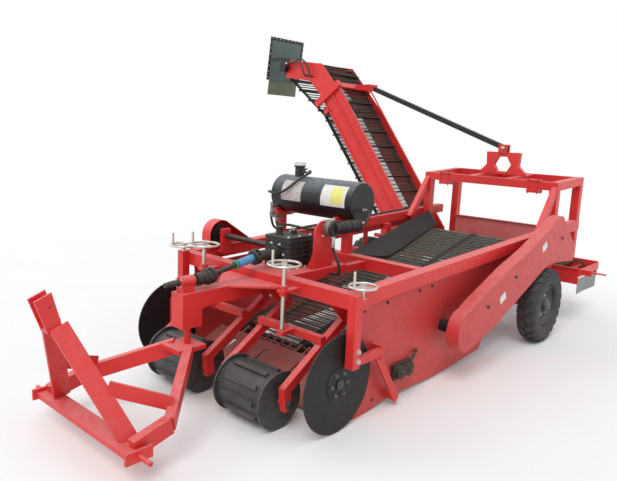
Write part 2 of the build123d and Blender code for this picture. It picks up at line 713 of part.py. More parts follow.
with BuildPart() as cross_shaft:
    rod((CROSS_SHAFT[0], -GEARBOX_HALF - 12, CROSS_SHAFT[1]),
        (CROSS_SHAFT[0], belt_y[0] + CASE_SHEET, CROSS_SHAFT[1]), CROSS_SHAFT_RADIUS)
    rod((CROSS_SHAFT[0], belt_y[0] + 20, CROSS_SHAFT[1]),
        (CROSS_SHAFT[0], belt_y[1] - 20, CROSS_SHAFT[1]), 80)
keep(cross_shaft, "cross_shaft")

with BuildPart() as pto_bearing:
    block((PTO_BEARING_X[0] + 8, PTO_BEARING_X[1] - 8), span(0, PTO_BEARING - 6), (DRAWBAR_TOP, PTO_Z))
    rod((PTO_BEARING_X[0], 0, PTO_Z), (PTO_BEARING_X[1], 0, PTO_Z), PTO_BEARING)
    rod((PTO_BEARING_X[0] - 10, 0, PTO_Z), (PTO_BEARING_X[1] + 10, 0, PTO_Z), PTO_SHAFT + PIN_FIT,
        mode=Mode.SUBTRACT)
keep(pto_bearing, "pto_bearing")

joint_front = Vector(JOINT_FRONT_X, 0, PTO_Z + 12)
joint_rear = Vector(JOINT_REAR_X, 0, INPUT_Z)
tube_way = (joint_rear - joint_front).normalized()
with BuildPart() as pto_shaft:
    rod((PTO_BEARING_X[1], 0, PTO_Z), (PTO_BEARING_X[1] + PTO_STUB[1], 0, PTO_Z), PTO_STUB[0])
    rod((PTO_BEARING_X[1], 0, PTO_Z), (PTO_BEARING_X[0] - 40, 0, PTO_Z), PTO_SHAFT)
    rod((PTO_BEARING_X[0] - 30, 0, PTO_Z), joint_front - tube_way * 40, JOINT_RADIUS - 6)
    rod(joint_front - tube_way * 40, joint_front + tube_way * 45, JOINT_RADIUS)
    rod(joint_front, joint_rear, TUBE_RADIUS)
    rod(joint_rear - tube_way * 45, joint_rear, JOINT_RADIUS - 6)
    rod(joint_rear, (GEARBOX_X[1] + 50, 0, INPUT_Z), JOINT_RADIUS - 10)
keep(pto_shaft, "pto_shaft")

with BuildPart() as pto_sleeve:
    sleeve_end = joint_rear - tube_way * 46
    rod(sleeve_end - tube_way * SLEEVE_LENGTH, sleeve_end, SLEEVE_RADIUS)
    rod(joint_front, joint_rear, TUBE_RADIUS + PIN_FIT, mode=Mode.SUBTRACT)
keep(pto_sleeve, "pto_sleeve")

# ---- oil tank, valve block, pump and hoses -----------------------------------------------------
with BuildPart() as oil_tank:
    rod((TANK_X, TANK_Y[0], TANK_Z), (TANK_X, TANK_Y[1], TANK_Z), TANK_RADIUS)
    fillet(oil_tank.edges().filter_by(GeomType.CIRCLE), 12)
keep(oil_tank, "oil_tank")

post_top = TANK_Z - TANK_RADIUS - 20
post_right = (TANK_Y[0] - 85, TANK_Y[0] - 85 + TANK_POST)
with BuildPart() as tank_stand:
    block(span(SECOND_BEAM_X, TANK_POST / 2), post_right, (SECOND_BEAM_TOP, post_top))
    block(span(SECOND_BEAM_X, TANK_POST / 2), (post_right[0], SADDLES[0] + SADDLE / 2),
          (post_top - 12, post_top))
    block(span(SECOND_BEAM_X, TANK_POST / 2), span(SADDLES[1], TANK_POST / 2), (SECOND_BEAM_TOP, post_top))
    for y in SADDLES:
        slab([(TANK_X - 150, TANK_Z - TANK_RADIUS + 40), (TANK_X - 110, post_top - 4),
              (TANK_X + 110, post_top - 4), (TANK_X + 150, TANK_Z - TANK_RADIUS + 40)],
             *span(y, SADDLE / 2))
    rod((TANK_X, SADDLES[0] - 60, TANK_Z), (TANK_X, SADDLES[1] + 60, TANK_Z), TANK_RADIUS,
        mode=Mode.SUBTRACT)
keep(tank_stand, "tank_stand")

filter_top = TANK_Z + TANK_RADIUS
with BuildPart() as tank_filter:
    rod((TANK_X, FILTER_Y, TANK_Z + 60), (TANK_X, FILTER_Y, filter_top + FILTER_RISE[0]), FILTER_RADIUS)
    rod((TANK_X, FILTER_Y, filter_top + FILTER_RISE[0]), (TANK_X, FILTER_Y, filter_top + FILTER_RISE[1]),
        FILTER_CAP)
    block(span(TANK_X, 22), (FILTER_Y, FILTER_Y + 75), span(filter_top + 48, 22))
    rod((TANK_X, FILTER_Y - 100, TANK_Z), (TANK_X, FILTER_Y + 100, TANK_Z), TANK_RADIUS,
        mode=Mode.SUBTRACT)
keep(tank_filter, "tank_filter")

valve_x = SECOND_BEAM_X + TANK_POST / 2
valve_top = VALVE_Z + VALVE[2]
with BuildPart() as valve_block:
    block((valve_x, valve_x + VALVE[0]), (post_right[0], post_right[0] + VALVE[1]), (VALVE_Z, valve_top))
    for k in range(2):
        z = VALVE_Z + 40 + 60 * k
        rod((valve_x + VALVE[0], post_right[0] + VALVE[1] / 2, z),
            (valve_x + VALVE[0] + 26, post_right[0] + VALVE[1] / 2, z), 16)
keep(valve_block, "valve_block")

plate_top = PUMP[2] + 62
with BuildPart() as pump_bracket:
    with BuildSketch(Plane.XZ.offset(-PUMP[1] - PUMP_PLATE / 2)) as plate_face:
        with Locations((PUMP[0], plate_top - PUMP_HALF)):
            Circle(PUMP_HALF)
        with Locations((PUMP[0], (FRAME_TOP + plate_top - PUMP_HALF) / 2)):
            Rectangle(2 * PUMP_HALF, plate_top - PUMP_HALF - FRAME_TOP)
    extrude(plate_face.sketch, amount=PUMP_PLATE)
    block(span(PUMP[0], 50), (PUMP[1] - 80, PUMP[1]), (FRAME_TOP, FRAME_TOP + 90))
keep(pump_bracket, "pump_bracket")

pump_x = PUMP[0] - 40
pump_y = PUMP[1] + PUMP_PLATE / 2 + 54
with BuildPart() as pump:
    rod((pump_x, PUMP[1] + PUMP_PLATE / 2, PUMP[2]), (pump_x, pump_y + 20, PUMP[2]), PUMP_FLANGE)
    rod((pump_x, pump_y, PUMP[2]), (pump_x - PUMP_REACH, pump_y, PUMP[2]), PUMP_BODY)
    rod((pump_x - PUMP_REACH, pump_y, PUMP[2]), (pump_x - PUMP_REACH - 24, pump_y, PUMP[2]), PUMP_BODY - 14)
keep(pump, "pump")

pump_end = pump_x - PUMP_REACH - 24
valve_y = post_right[0] + VALVE[1] / 2
rail_y = -FRAME_HALF + 40
HOSE_ROUTES = (
    ((TANK_X, FILTER_Y + 75, filter_top + 48), (TANK_X, FILTER_Y + 150, filter_top + 48),
     (TANK_X + 130, FILTER_Y + 130, filter_top - 10), (TANK_X + 215, FILTER_Y - 20, TANK_Z + 10),
     (TANK_X + 200, TANK_Y[0] - 26, TANK_Z + 20), (valve_x + 40, valve_y, valve_top + 90),
     (valve_x + 40, valve_y, valve_top)),
    ((pump_x, pump_y, PUMP[2] - PUMP_FLANGE), (pump_x, pump_y, PUMP[2] - 150),
     (pump_x - 10, pump_y + 66, PUMP[2] - 280), (pump_x - 20, pump_y + 60, FRAME_TOP - 46),
     (pump_x - 20, DECK_HALF, FRAME_TOP - 46)),
    ((pump_end, pump_y, PUMP[2] + 12), (pump_end - 90, pump_y, PUMP[2] + 12),
     (TANK_X, TANK_Y[1] + 80, TANK_Z - 60), (TANK_X, TANK_Y[1], TANK_Z - 60)),
    ((pump_end, pump_y, PUMP[2] - 14), (pump_end - 50, pump_y, PUMP[2] - 14),
     (TANK_X + 40, TANK_Y[1] - 60, post_top - 60), (TANK_X + 60, -300, post_top - 100),
     (valve_x + 40, valve_y + 160, VALVE_Z - 50), (valve_x + 40, valve_y, VALVE_Z - 70),
     (valve_x + 40, valve_y, VALVE_Z)),
    ((valve_x + 20, post_right[0], VALVE_Z + 40), (valve_x + 20, post_right[0] - 60, VALVE_Z + 40),
     (valve_x - 60, rail_y, rail_top(valve_x) + 60), (valve_x - 240, rail_y, rail_top(valve_x - 240) + 16),
     (600, rail_y, rail_top(600) + 14), (-560, rail_y - 6, rail_top(-560) + 16),
     (GANTRY_FRONT + 20, rail_y, rail_top(GANTRY_FRONT) + 40),
     (GANTRY_FRONT, rail_y, rail_top(GANTRY_FRONT) + 150),
     (GANTRY_FRONT, -GANTRY_HALF, rail_top(GANTRY_FRONT) + 150)),
)
with BuildPart() as oil_hoses:
    for route in HOSE_ROUTES:
        hose(route, HOSE)
keep(oil_hoses, "oil_hoses")

# ---- gantry and mast ---------------------------------------------------------------------------
half_tube = GANTRY_TUBE / 2
with BuildPart() as gantry:
    for x, foot in ((GANTRY_FRONT, rail_bottom(GANTRY_FRONT)), (GANTRY_REAR, POST_FOOT)):
        block(span(x, half_tube), span(0, GANTRY_HALF), (gantry_top(x) - GANTRY_TUBE, gantry_top(x)))
        for name, side in SIDES:
            block(span(x, half_tube), between(side, POST_INNER, GANTRY_HALF), (foot, gantry_top(x)))
    for inner, outer in ((POST_INNER, GANTRY_HALF), CARRIER):
        side_beam = [
            (GANTRY_FRONT, gantry_top(GANTRY_FRONT)),
            (GANTRY_REAR, gantry_top(GANTRY_REAR)),
            (GANTRY_REAR, gantry_top(GANTRY_REAR) - GANTRY_TUBE),
            (GANTRY_FRONT, gantry_top(GANTRY_FRONT) - GANTRY_TUBE),
        ]
        for name, side in SIDES:
            slab(side_beam, *between(side, inner, outer))
    for name, side in SIDES:
        brace_y = side * (GANTRY_HALF - 35)
        bar((GANTRY_FRONT, brace_y, GANTRY_TOP - 50), (-440, brace_y, rail_bottom(-440) + 30), 60, 70)
        block((GANTRY_REAR + 20, CROSS_REAR), between(side, POST_INNER - 45, POST_INNER),
              (POST_FOOT + 5, CROSS_MID + CHANNEL_RISE - 10))
        block(span(GANTRY_FRONT, half_tube + 8), span(side * CLAMP_PLATE[0], CLAMP_PLATE[1] / 2),
              (GANTRY_TOP, GANTRY_TOP + CLAMP_PLATE[2]))
keep(gantry, "gantry")

with BuildPart() as clamp_pads:
    pad_top = GANTRY_TOP - GANTRY_TUBE
    for name, side in SIDES:
        block(span(GANTRY_FRONT, half_tube + 8), span(side * CLAMP_PLATE[0], CLAMP_PLATE[1] / 2),
              (pad_top - CLAMP_PAD, pad_top))
keep(clamp_pads, "clamp_pads")

mast_low = gantry_top(MAST_X - MAST_DEPTH / 2)
with BuildPart() as mast:
    with BuildSketch(Plane.YZ.offset(MAST_X - MAST_DEPTH / 2)) as mast_face:
        Polygon((-MAST_HALF, mast_low), (MAST_HALF, mast_low), (MAST_HALF, mast_low + 30),
                (200, mast_low + 110), (210, MAST_TOP), (-210, MAST_TOP), (-200, mast_low + 110),
                (-MAST_HALF, mast_low + 30), align=None)
        with Locations((0, mast_low + 118)):
            RegularPolygon(108, 6, mode=Mode.SUBTRACT)
    extrude(mast_face.sketch, amount=MAST_DEPTH)
    for low in (MAST_X + LUG_GAP, MAST_X - LUG_GAP - STAY_LUG):
        slab([(-60, MAST_TOP), (45, MAST_TOP), (45, MAST_PIN_Z + 40), (-60, MAST_PIN_Z + 40)],
             low, low + STAY_LUG, "x")
    block(span(MAST_X, LUG_GAP + STAY_LUG), (-60, 45), (MAST_TOP - 12, MAST_TOP))
    rod((MAST_X - 60, 0, MAST_PIN_Z), (MAST_X + 60, 0, MAST_PIN_Z), STAY_PIN)
keep(mast, "mast")

# ---- cross conveyor ----------------------------------------------------------------------------
CHANNEL_Z = (CROSS_MID - CHANNEL_DROP, CROSS_MID + CHANNEL_RISE)
cross_ends = ((CROSS_HEAD, CROSS_MID), (CROSS_TAIL, CROSS_MID))
channel_head = CROSS_HEAD - CROSS_ROLLER - 22
channel_tail = CROSS_TAIL + TAKE_UP_REACH
CROSS_BELTS = (CROSS_REAR + CHANNEL + 20, CROSS_FRONT - 20 - WEB_BELT)
with BuildPart() as cross_frame:
    for x in (CROSS_FRONT, CROSS_REAR):
        block((x, x + CHANNEL), (channel_head, channel_tail), CHANNEL_Z)
        edge = (x, x + RIB_WIDTH) if x == CROSS_FRONT else (x - RIB_WIDTH, x)
        block(edge, (POST_INNER - 740, channel_tail), (CHANNEL_Z[1] - CHANNEL, CHANNEL_Z[1]))
        for y in (CROSS_HEAD, CROSS_TAIL):
            rod((CROSS_REAR, y, CROSS_MID), (CROSS_FRONT, y, CROSS_MID), WEB_SHAFT)
    for name, side in SIDES:
        block((CROSS_FRONT, CROSS_FRONT + CHANNEL), between(side, POST_INNER - 60, POST_INNER + 20),
              (CHANNEL_Z[1], rail_bottom(GANTRY_FRONT)))
        block((CROSS_FRONT, CROSS_FRONT + CHANNEL), between(side, POST_INNER - 60, RAIL_INNER + 20),
              (rail_bottom(GANTRY_FRONT) - 40, rail_bottom(GANTRY_FRONT)))
    for low in CROSS_BELTS:
        for y in (CROSS_HEAD, CROSS_TAIL):
            rod((low, y, CROSS_MID), (low + WEB_BELT, y, CROSS_MID), CROSS_ROLLER - 1)
    block((CROSS_REAR, CROSS_FRONT + CHANNEL), (channel_tail, channel_tail + 12), span(CROSS_MID + 50, 40))
    block(span(CROSS_FRONT - 50, 20), (channel_tail + 12, channel_tail + 120), span(CROSS_MID + 60, 30))
    rod((CROSS_FRONT - 50, channel_tail + 120, CROSS_MID + 70),
        (CROSS_FRONT - 50, channel_tail + 260, CROSS_MID + 70), 9)
keep(cross_frame, "cross_frame")

with BuildPart() as cross_web:
    for low in CROSS_BELTS:
        band(cross_ends, CROSS_ROLLER, WEB_BELT_THICK, low, low + WEB_BELT, "x")
    cross_rods(path_places(cross_ends, CROSS_ROLLER + WEB_BELT_THICK / 2, WEB_PITCH), WEB_ROD,
               CROSS_BELTS[0] + 5, CROSS_BELTS[1] + WEB_BELT - 5, "x")
keep(cross_web, "cross_web")

with BuildPart() as tail_flap:
    block((CROSS_REAR + CHANNEL + 6, CROSS_FRONT - 6), (channel_tail - 8, channel_tail - 2),
          (CHANNEL_Z[0] - 110, CHANNEL_Z[0] + 60))
    block((CROSS_REAR + CHANNEL, CROSS_FRONT), (channel_tail - 16, channel_tail - 8),
          (CHANNEL_Z[0] + 20, CHANNEL_Z[0] + 60))
keep(tail_flap, "tail_flap")

with BuildPart() as rear_panel:
    rear_face = GANTRY_REAR + half_tube
    block((rear_face, rear_face + 6), span(0, POST_INNER), (CHANNEL_Z[1] + RUN_GAP, PANEL_TOP))
    block((rear_face, rear_face + 36), span(0, POST_INNER), (PANEL_TOP - 6, PANEL_TOP))
    block((rear_face - 24, rear_face), span(0, 12), (CHANNEL_Z[1] + RUN_GAP, PANEL_TOP))
keep(rear_panel, "rear_panel")

# ---- wheel axle --------------------------------------------------------------------------------
hub_inner = WHEEL_Y - HUB_HALF
with BuildPart() as wheel_axle:
    block(span(0, AXLE_BEAM / 2), span(0, PLATE_INNER), span(WHEEL_RADIUS, AXLE_BEAM / 2))
    upright = [
        (-AXLE_BEAM / 2, WHEEL_RADIUS),
        (AXLE_BEAM / 2, WHEEL_RADIUS),
        (AXLE_BEAM / 2, rail_bottom(AXLE_BEAM / 2)),
        (-AXLE_BEAM / 2, rail_bottom(-AXLE_BEAM / 2)),
    ]
    for name, side in SIDES:
        slab(upright, *between(side, PLATE_INNER - AXLE_BEAM, PLATE_INNER))
        rod((0, side * PLATE_INNER, WHEEL_RADIUS), (0, side * (hub_inner - RUN_GAP), WHEEL_RADIUS),
            AXLE_SLEEVE)
        rod((0, side * PLATE_INNER, WHEEL_RADIUS), (0, side * (WHEEL_Y + HUB_HALF), WHEEL_RADIUS),
            AXLE_RADIUS)
keep(wheel_axle, "wheel_axle")

BEAD = WHEEL_WIDTH * 0.37
TYRE_SECTION = [         # radius, distance from the wheel's middle plane
    (RIM_RADIUS, BEAD),
    (RIM_RADIUS + 40, WHEEL_WIDTH * 0.48),
    (RIM_RADIUS + 100, WHEEL_WIDTH / 2),
    (WHEEL_RADIUS - 22, WHEEL_WIDTH * 0.45),
    (WHEEL_RADIUS - 5, WHEEL_WIDTH * 0.34),
    (WHEEL_RADIUS, 0),
]
RIM_SECTION = [          # radius, distance outwards from the wheel's middle plane
    (AXLE_RADIUS + PIN_FIT, -HUB_HALF), (AXLE_RADIUS + PIN_FIT, HUB_HALF), (HUB_RADIUS, HUB_HALF),
    (HUB_RADIUS, 40), (150, 20), (RIM_RADIUS - 12, BEAD - 20), (RIM_RADIUS - 12, BEAD + 12),
    (RIM_RADIUS, BEAD), (RIM_RADIUS, -BEAD), (RIM_RADIUS - 12, -BEAD - 12), (RIM_RADIUS - 12, 20),
    (150, 6), (HUB_RADIUS, 24), (HUB_RADIUS, -HUB_HALF),
]
tyre_loop = TYRE_SECTION + [(radius, -out) for radius, out in reversed(TYRE_SECTION[:-1])]
for name, side in SIDES:
    hub = Plane((0, side * WHEEL_Y, WHEEL_RADIUS), x_dir=(1, 0, 0), z_dir=(0, 0, side))
    with BuildPart() as tyre:
        with BuildSketch(hub) as section:
            Polygon(*tyre_loop, align=None)
        revolve(section.sketch, axis=Axis(hub.origin, (0, 1, 0)))
    keep(tyre, f"tyre_{name}")
    with BuildPart() as rim:
        with BuildSketch(hub) as section:
            Polygon(*RIM_SECTION, align=None)
        revolve(section.sketch, axis=Axis(hub.origin, (0, 1, 0)))
    keep(rim, f"rim_{name}")

# ---- coulters ----------------------------------------------------------------------------------
right_shank = (-FRAME_HALF + SHANK_INSET, -FRAME_HALF + SHANK_INSET + SHANK)
with BuildPart() as coulter_shanks:
    left_y = (FRAME_HALF, FRAME_HALF + SHANK)
    block((SHANK_X, SHANK_X + SHANK), left_y, (SHANK_BOTTOM, FRAME_TOP + SHANK_RISE))
    block((CLAMP[0], SHANK_X), left_y, CLAMP[1:])
    block((2552, SHANK_X), (FRAME_HALF, FRAME_HALF + 40), (SHANK_BOTTOM, SHANK_BOTTOM + 55))
    block((2530, 2552), (PLATE_OUTER, FRAME_HALF + 40), span(SHANK_BOTTOM + 27, 45))
    bar((2570, FRAME_HALF + 20, SHANK_BOTTOM), (2300, FRAME_HALF + 20, 50), 14, 60)
    block((2290, 2340), (PLATE_OUTER, FRAME_HALF + 20), (50, 100))
    block((FRAME_FRONT, FRAME_FRONT + SHANK), right_shank, (SHANK_BOTTOM, FRAME_TOP + SHANK_RISE))
    block((2650, FRAME_FRONT), (-PLATE_INNER, -PLATE_INNER + 40), (SHANK_BOTTOM, SHANK_BOTTOM + 55))
    block((2620, DISC_X + 46), (PLATE_OUTER, PLATE_OUTER + 12), span(DISC_Z, 45))
    block((FRAME_FRONT, DISC_X + 46), (right_shank[0] - 12, right_shank[0]),
          (DISC_Z - 45, SHANK_BOTTOM + 90))
    for (name, side), disc_y, root in zip(SIDES, DISC_PLACES, (PLATE_OUTER, -right_shank[0])):
        rod((DISC_X, side * root, DISC_Z), (DISC_X, side * (disc_y + 26), DISC_Z), DISC_PIN)
keep(coulter_shanks, "coulter_shanks")

for (name, side), disc_y in zip(SIDES, DISC_PLACES):
    with BuildPart() as disc:
        rod((DISC_X, side * (disc_y - DISC_THICK / 2), DISC_Z),
            (DISC_X, side * (disc_y + DISC_THICK / 2), DISC_Z), DISC_RADIUS)
        rod((DISC_X, side * disc_y, DISC_Z), (DISC_X, side * (disc_y + 12), DISC_Z), DISC_HUB)
        rod((DISC_X, side * (disc_y - 40), DISC_Z), (DISC_X, side * (disc_y + 40), DISC_Z),
            DISC_PIN + PIN_FIT, mode=Mode.SUBTRACT)
    keep(disc, f"coulter_disc_{name}")

with BuildPart() as coulter_handwheels:
    for x, y, foot, radius in (
        (COULTER_WHEEL_X, FRAME_HALF + SHANK / 2, CLAMP[2], COULTER_WHEEL),
        (FRAME_FRONT + SHANK / 2, right_shank[0] + SHANK / 2, FRAME_TOP + SHANK_RISE, COULTER_WHEEL_RIGHT),
    ):
        handwheel(x, y, COULTER_WHEEL_Z, radius)
        rod((x, y, foot), (x, y, COULTER_WHEEL_Z), COULTER_SCREW)
keep(coulter_handwheels, "coulter_handwheels")

# ---- depth screws ------------------------------------------------------------------------------
with BuildPart() as screw_brackets:
    for name, side in SIDES:
        y = side * SCREW_Y
        block((FRAME_FRONT, SCREW_X + 32), span(y, 32), (FRAME_TOP - 60, FRAME_TOP - 40))
        rod((SCREW_X, y, FRAME_TOP - 80), (SCREW_X, y, FRAME_TOP - 10), SCREW_BOSS)
        rod((SCREW_X, y, FRAME_TOP - 90), (SCREW_X, y, FRAME_TOP), SCREW_RADIUS + PIN_FIT,
            mode=Mode.SUBTRACT)
keep(screw_brackets, "screw_brackets")

for name, side in SIDES:
    with BuildPart() as depth_screw:
        handwheel(SCREW_X, side * SCREW_Y, DEPTH_WHEEL_Z, DEPTH_WHEEL)
        rod((SCREW_X, side * SCREW_Y, STOP_TOP + SCREW_LIFT), (SCREW_X, side * SCREW_Y, DEPTH_WHEEL_Z),
            SCREW_RADIUS)
    keep(depth_screw, f"depth_screw_{name}")

# ---- ridge rollers and their arms --------------------------------------------------------------
for name, side in SIDES:
    with BuildPart() as arms:
        for low in (ARM_INNER, ARM_OUTER):
            y = side * (low + ARM_WIDTH / 2)
            half = ARM_WIDTH / 2
            bar((ARM_PIVOT[0], y, ARM_PIVOT[1]), (ARM_KNEE[0], y, ARM_KNEE[1]), ARM_WIDTH, ARM_DEPTH)
            rod((ARM_PIVOT[0], y - half, ARM_PIVOT[1]), (ARM_PIVOT[0], y + half, ARM_PIVOT[1]),
                ARM_DEPTH / 2)
            bar((ARM_KNEE[0], y, ARM_KNEE[1] + 26), (DRUM_X, y, DRUM_Z - 40), ARM_WIDTH, 66, up=(1, 0, 0))
        bar((TIE[0], side * ARM_INNER, TIE[1]), (TIE[0], side * (ARM_OUTER + ARM_WIDTH), TIE[1]),
            TIE_BAR, TIE_BAR)
        block((TIE[0], SCREW_X + 24), span(side * SCREW_Y, 30), (STOP_TOP - 30, STOP_TOP))
        rod((ARM_PIVOT[0], side * (ARM_INNER - 5), ARM_PIVOT[1]),
            (ARM_PIVOT[0], side * (ARM_OUTER + ARM_WIDTH + 5), ARM_PIVOT[1]), ARM_PIN + PIN_FIT,
            mode=Mode.SUBTRACT)
        for start, end in ((ARM_INNER + 10, DRUM_INNER + 30), (DRUM_OUTER - 30, ARM_OUTER + 40)):
            rod((DRUM_X, side * start, DRUM_Z), (DRUM_X, side * end, DRUM_Z), DRUM_PIN)
    keep(arms, f"roller_arms_{name}")
    with BuildPart() as drum:
        rod((DRUM_X, side * DRUM_INNER, DRUM_Z), (DRUM_X, side * DRUM_OUTER, DRUM_Z), DRUM_CORE)
        for flange in (DRUM_INNER, DRUM_OUTER - DRUM_FLANGE):
            rod((DRUM_X, side * flange, DRUM_Z), (DRUM_X, side * (flange + DRUM_FLANGE), DRUM_Z),
                DRUM_RADIUS)
        for k in range(DRUM_SLATS):
            turn = radians(360 / DRUM_SLATS * k)
            reach = DRUM_CORE + 8
            at = (DRUM_X + reach * cos(turn), DRUM_Z + reach * sin(turn))
            bar((at[0], side * (DRUM_INNER + 70), at[1]), (at[0], side * (DRUM_OUTER - 70), at[1]),
                34, 30, up=(cos(turn), 0, sin(turn)))
        sockets = ((DRUM_INNER - 5, DRUM_INNER + DRUM_SOCKET), (DRUM_OUTER - DRUM_SOCKET, DRUM_OUTER + 5))
        for low, high in sockets:
            rod((DRUM_X, side * low, DRUM_Z), (DRUM_X, side * high, DRUM_Z), DRUM_PIN + PIN_FIT,
                mode=Mode.SUBTRACT)
    keep(drum, f"ridge_roller_{name}")

# ---- elevator ----------------------------------------------------------------------------------
PANEL_OUTLINE = [
    incline(0, -ELEV_HALF),
    incline(0, ELEV_HALF),
    incline(ELEV_JOINT - 450, ELEV_HALF),
    (-2630, 2890),
    (HEAD_END[0], HEAD_END[1] + HEAD_HALF),
    (HEAD_END[0], HEAD_END[1] - HEAD_HALF),
    (-2850, 2660),
    incline(ELEV_JOINT, -ELEV_HALF),
]
TIE_RODS = (620, 1420, 2120)
PANELS = (ELEV_REAR, ELEV_FRONT - PANEL)
with BuildPart() as elevator_frame:
    for low in PANELS:
        outward = -1 if low == ELEV_REAR else 1
        face = low if low == ELEV_REAR else low + PANEL
        slab(PANEL_OUTLINE, low, low + PANEL, "x")
        rod((low, *ELEV_FOOT), (low + PANEL, *ELEV_FOOT), ELEV_HALF)
        ribs = sorted((face, face + outward * RIB_WIDTH))
        for above in (ELEV_HALF - RIB, -ELEV_HALF, 0):
            slab([incline(RIB_START, above), incline(RIB_START, above + RIB),
                  incline(ELEV_JOINT - 60, above + RIB), incline(ELEV_JOINT - 60, above)], *ribs, "x")
        flange = sorted((face, face + outward * FLANGE_BAR))
        slab([incline(ELEV_JOINT - FLANGE_HALF, -300), incline(ELEV_JOINT + FLANGE_HALF, -300),
              incline(ELEV_JOINT + FLANGE_HALF, 200), incline(ELEV_JOINT - FLANGE_HALF, 200)], *flange, "x")
        for along, above in IDLERS:
            hanger = sorted((face, face + outward * RIB))
            slab([incline(along - 40, -120), incline(along + 40, -120), incline(along + 30, above - 40),
                  incline(along - 30, above - 40)], *hanger, "x")
    slab([incline(ELEV_JOINT - FLANGE_HALF, YOKE[0]), incline(ELEV_JOINT + 30, YOKE[0]),
          incline(ELEV_JOINT + 30, YOKE[1]), incline(ELEV_JOINT - FLANGE_HALF, YOKE[1])],
         ELEV_REAR - FLANGE_BAR, ELEV_FRONT + FLANGE_BAR, "x")
    for along in TIE_RODS:
        rod((ELEV_REAR, *incline(along, 0)), (ELEV_FRONT, *incline(along, 0)), 20)
    for low in (MAST_X + LUG_GAP, MAST_X - LUG_GAP - STAY_LUG):
        slab([incline(ELEV_JOINT + 30, YOKE[0] + 5), incline(ELEV_JOINT - FLANGE_HALF, YOKE[0] + 5),
              (STAY_EYE[0] + 50, STAY_EYE[1] - 40), (STAY_EYE[0] + 50, STAY_EYE[1] + 40),
              (STAY_EYE[0] - 40, STAY_EYE[1] + 50)], low, low + STAY_LUG, "x")
    rod((ELEV_REAR - 60, *ELEV_FOOT), (ELEV_FRONT + 60, *ELEV_FOOT), PIVOT)
keep(elevator_frame, "elevator_frame")

turn_point = incline(ELEV_TURN, 0)
loop = (ELEV_FOOT, turn_point, HEAD_END, incline(*IDLERS[1]), incline(*IDLERS[0]))
ELEV_BELTS = (ELEV_REAR + PANEL + BELT_GAP, ELEV_FRONT - PANEL - BELT_GAP - WEB_BELT)
with BuildPart() as elevator_web:
    for low in ELEV_BELTS:
        band(loop, ELEV_ROLLER, WEB_BELT_THICK, low, low + WEB_BELT, "x")
    rods_x = (ELEV_BELTS[0] + 5, ELEV_BELTS[1] + WEB_BELT - 5)
    rod_places = path_places(loop, ELEV_ROLLER + WEB_BELT_THICK / 2, ELEV_PITCH)
    cross_rods(rod_places, WEB_ROD, *rods_x, "x")
    cross_rods(rod_places[::FLIGHT_STEP], FLIGHT, *rods_x, "x", rise=FLIGHT / 2)
keep(elevator_web, "elevator_web")

with BuildPart() as elevator_rollers:
    for y, z in loop:
        if (y, z) != ELEV_FOOT:
            rod((ELEV_REAR + PANEL, y, z), (ELEV_FRONT - PANEL, y, z), WEB_SHAFT)
        for low in ELEV_BELTS:
            rod((low, y, z), (low + WEB_BELT, y, z), ELEV_ROLLER - 1)
    rod((ELEV_REAR, *ELEV_FOOT), (ELEV_FRONT, *ELEV_FOOT), PIVOT, mode=Mode.SUBTRACT)
keep(elevator_rollers, "elevator_rollers")

with BuildPart() as head_motor:
    rod((ELEV_FRONT, *HEAD_END), (ELEV_FRONT + MOTOR[1], *HEAD_END), MOTOR[0])
    block((ELEV_FRONT, ELEV_FRONT + MOTOR[1]), span(HEAD_END[0], 40),
          (HEAD_END[1] + 40, HEAD_END[1] + 90))
keep(head_motor, "head_motor")

near_x, far_x = ELEV_FRONT + 30, ELEV_FRONT + 66
block_y, block_z = HEAD_END[0] + 40, HEAD_END[1] + 65
HEAD_ROUTES = (
    ((near_x, block_y, block_z), (near_x, block_y + 110, block_z),
     (near_x + 10, block_y + 270, block_z + 75), (near_x + 30, block_y + 430, block_z - 25),
     (near_x + 30, block_y + 490, block_z - 195), (ELEV_FRONT, block_y + 490, block_z - 195)),
    ((far_x, block_y, block_z), (far_x, block_y + 100, block_z),
     (far_x + 8, block_y + 240, block_z + 30), (far_x + 18, block_y + 360, block_z - 65),
     (far_x + 14, block_y + 400, block_z - 185), (ELEV_FRONT, block_y + 400, block_z - 185)),
)
with BuildPart() as head_hoses:
    for route in HEAD_ROUTES:
        hose(route, HEAD_HOSE)
keep(head_hoses, "head_hoses")


def curtain_y(z):
    """Y of the leaning curtain's middle at a height."""
    return CURTAIN_Y + (z - sum(CURTAIN_Z) / 2) * tan(radians(CURTAIN_TILT))


def leaning(low_z, high_z, thick, x):
    """A sheet that leans with the curtain, between two heights."""
    half = thick / 2
    slab([(curtain_y(low_z) - half, low_z), (curtain_y(low_z) + half, low_z),
          (curtain_y(high_z) + half, high_z), (curtain_y(high_z) - half, high_z)], *x, "x")


frame_x = (ELEV_REAR - 12, ELEV_FRONT + 12)
with BuildPart() as curtain_frame:
    leaning(CURTAIN_Z[1] - CURTAIN_RAIL, CURTAIN_Z[1], 8, frame_x)
    for post, arm in (((frame_x[0], frame_x[0] + CURTAIN_RAIL), frame_x[0] + 6),
                      ((frame_x[1] - CURTAIN_RAIL, frame_x[1]), frame_x[1] - 6)):
        leaning(*CURTAIN_Z, 8, post)
        arm_z = HEAD_END[1] + HEAD_HALF
        bar((arm, HEAD_END[0] + 60, arm_z - 5), (arm, curtain_y(arm_z), arm_z + 15), 12, 50)
keep(curtain_frame, "curtain_frame")

with BuildPart() as curtain:
    leaning(CURTAIN_Z[0], CURTAIN_Z[1] - CURTAIN_RAIL, CURTAIN_THICK,
            (frame_x[0] + CURTAIN_RAIL, frame_x[1] - CURTAIN_RAIL))
keep(curtain, "curtain")

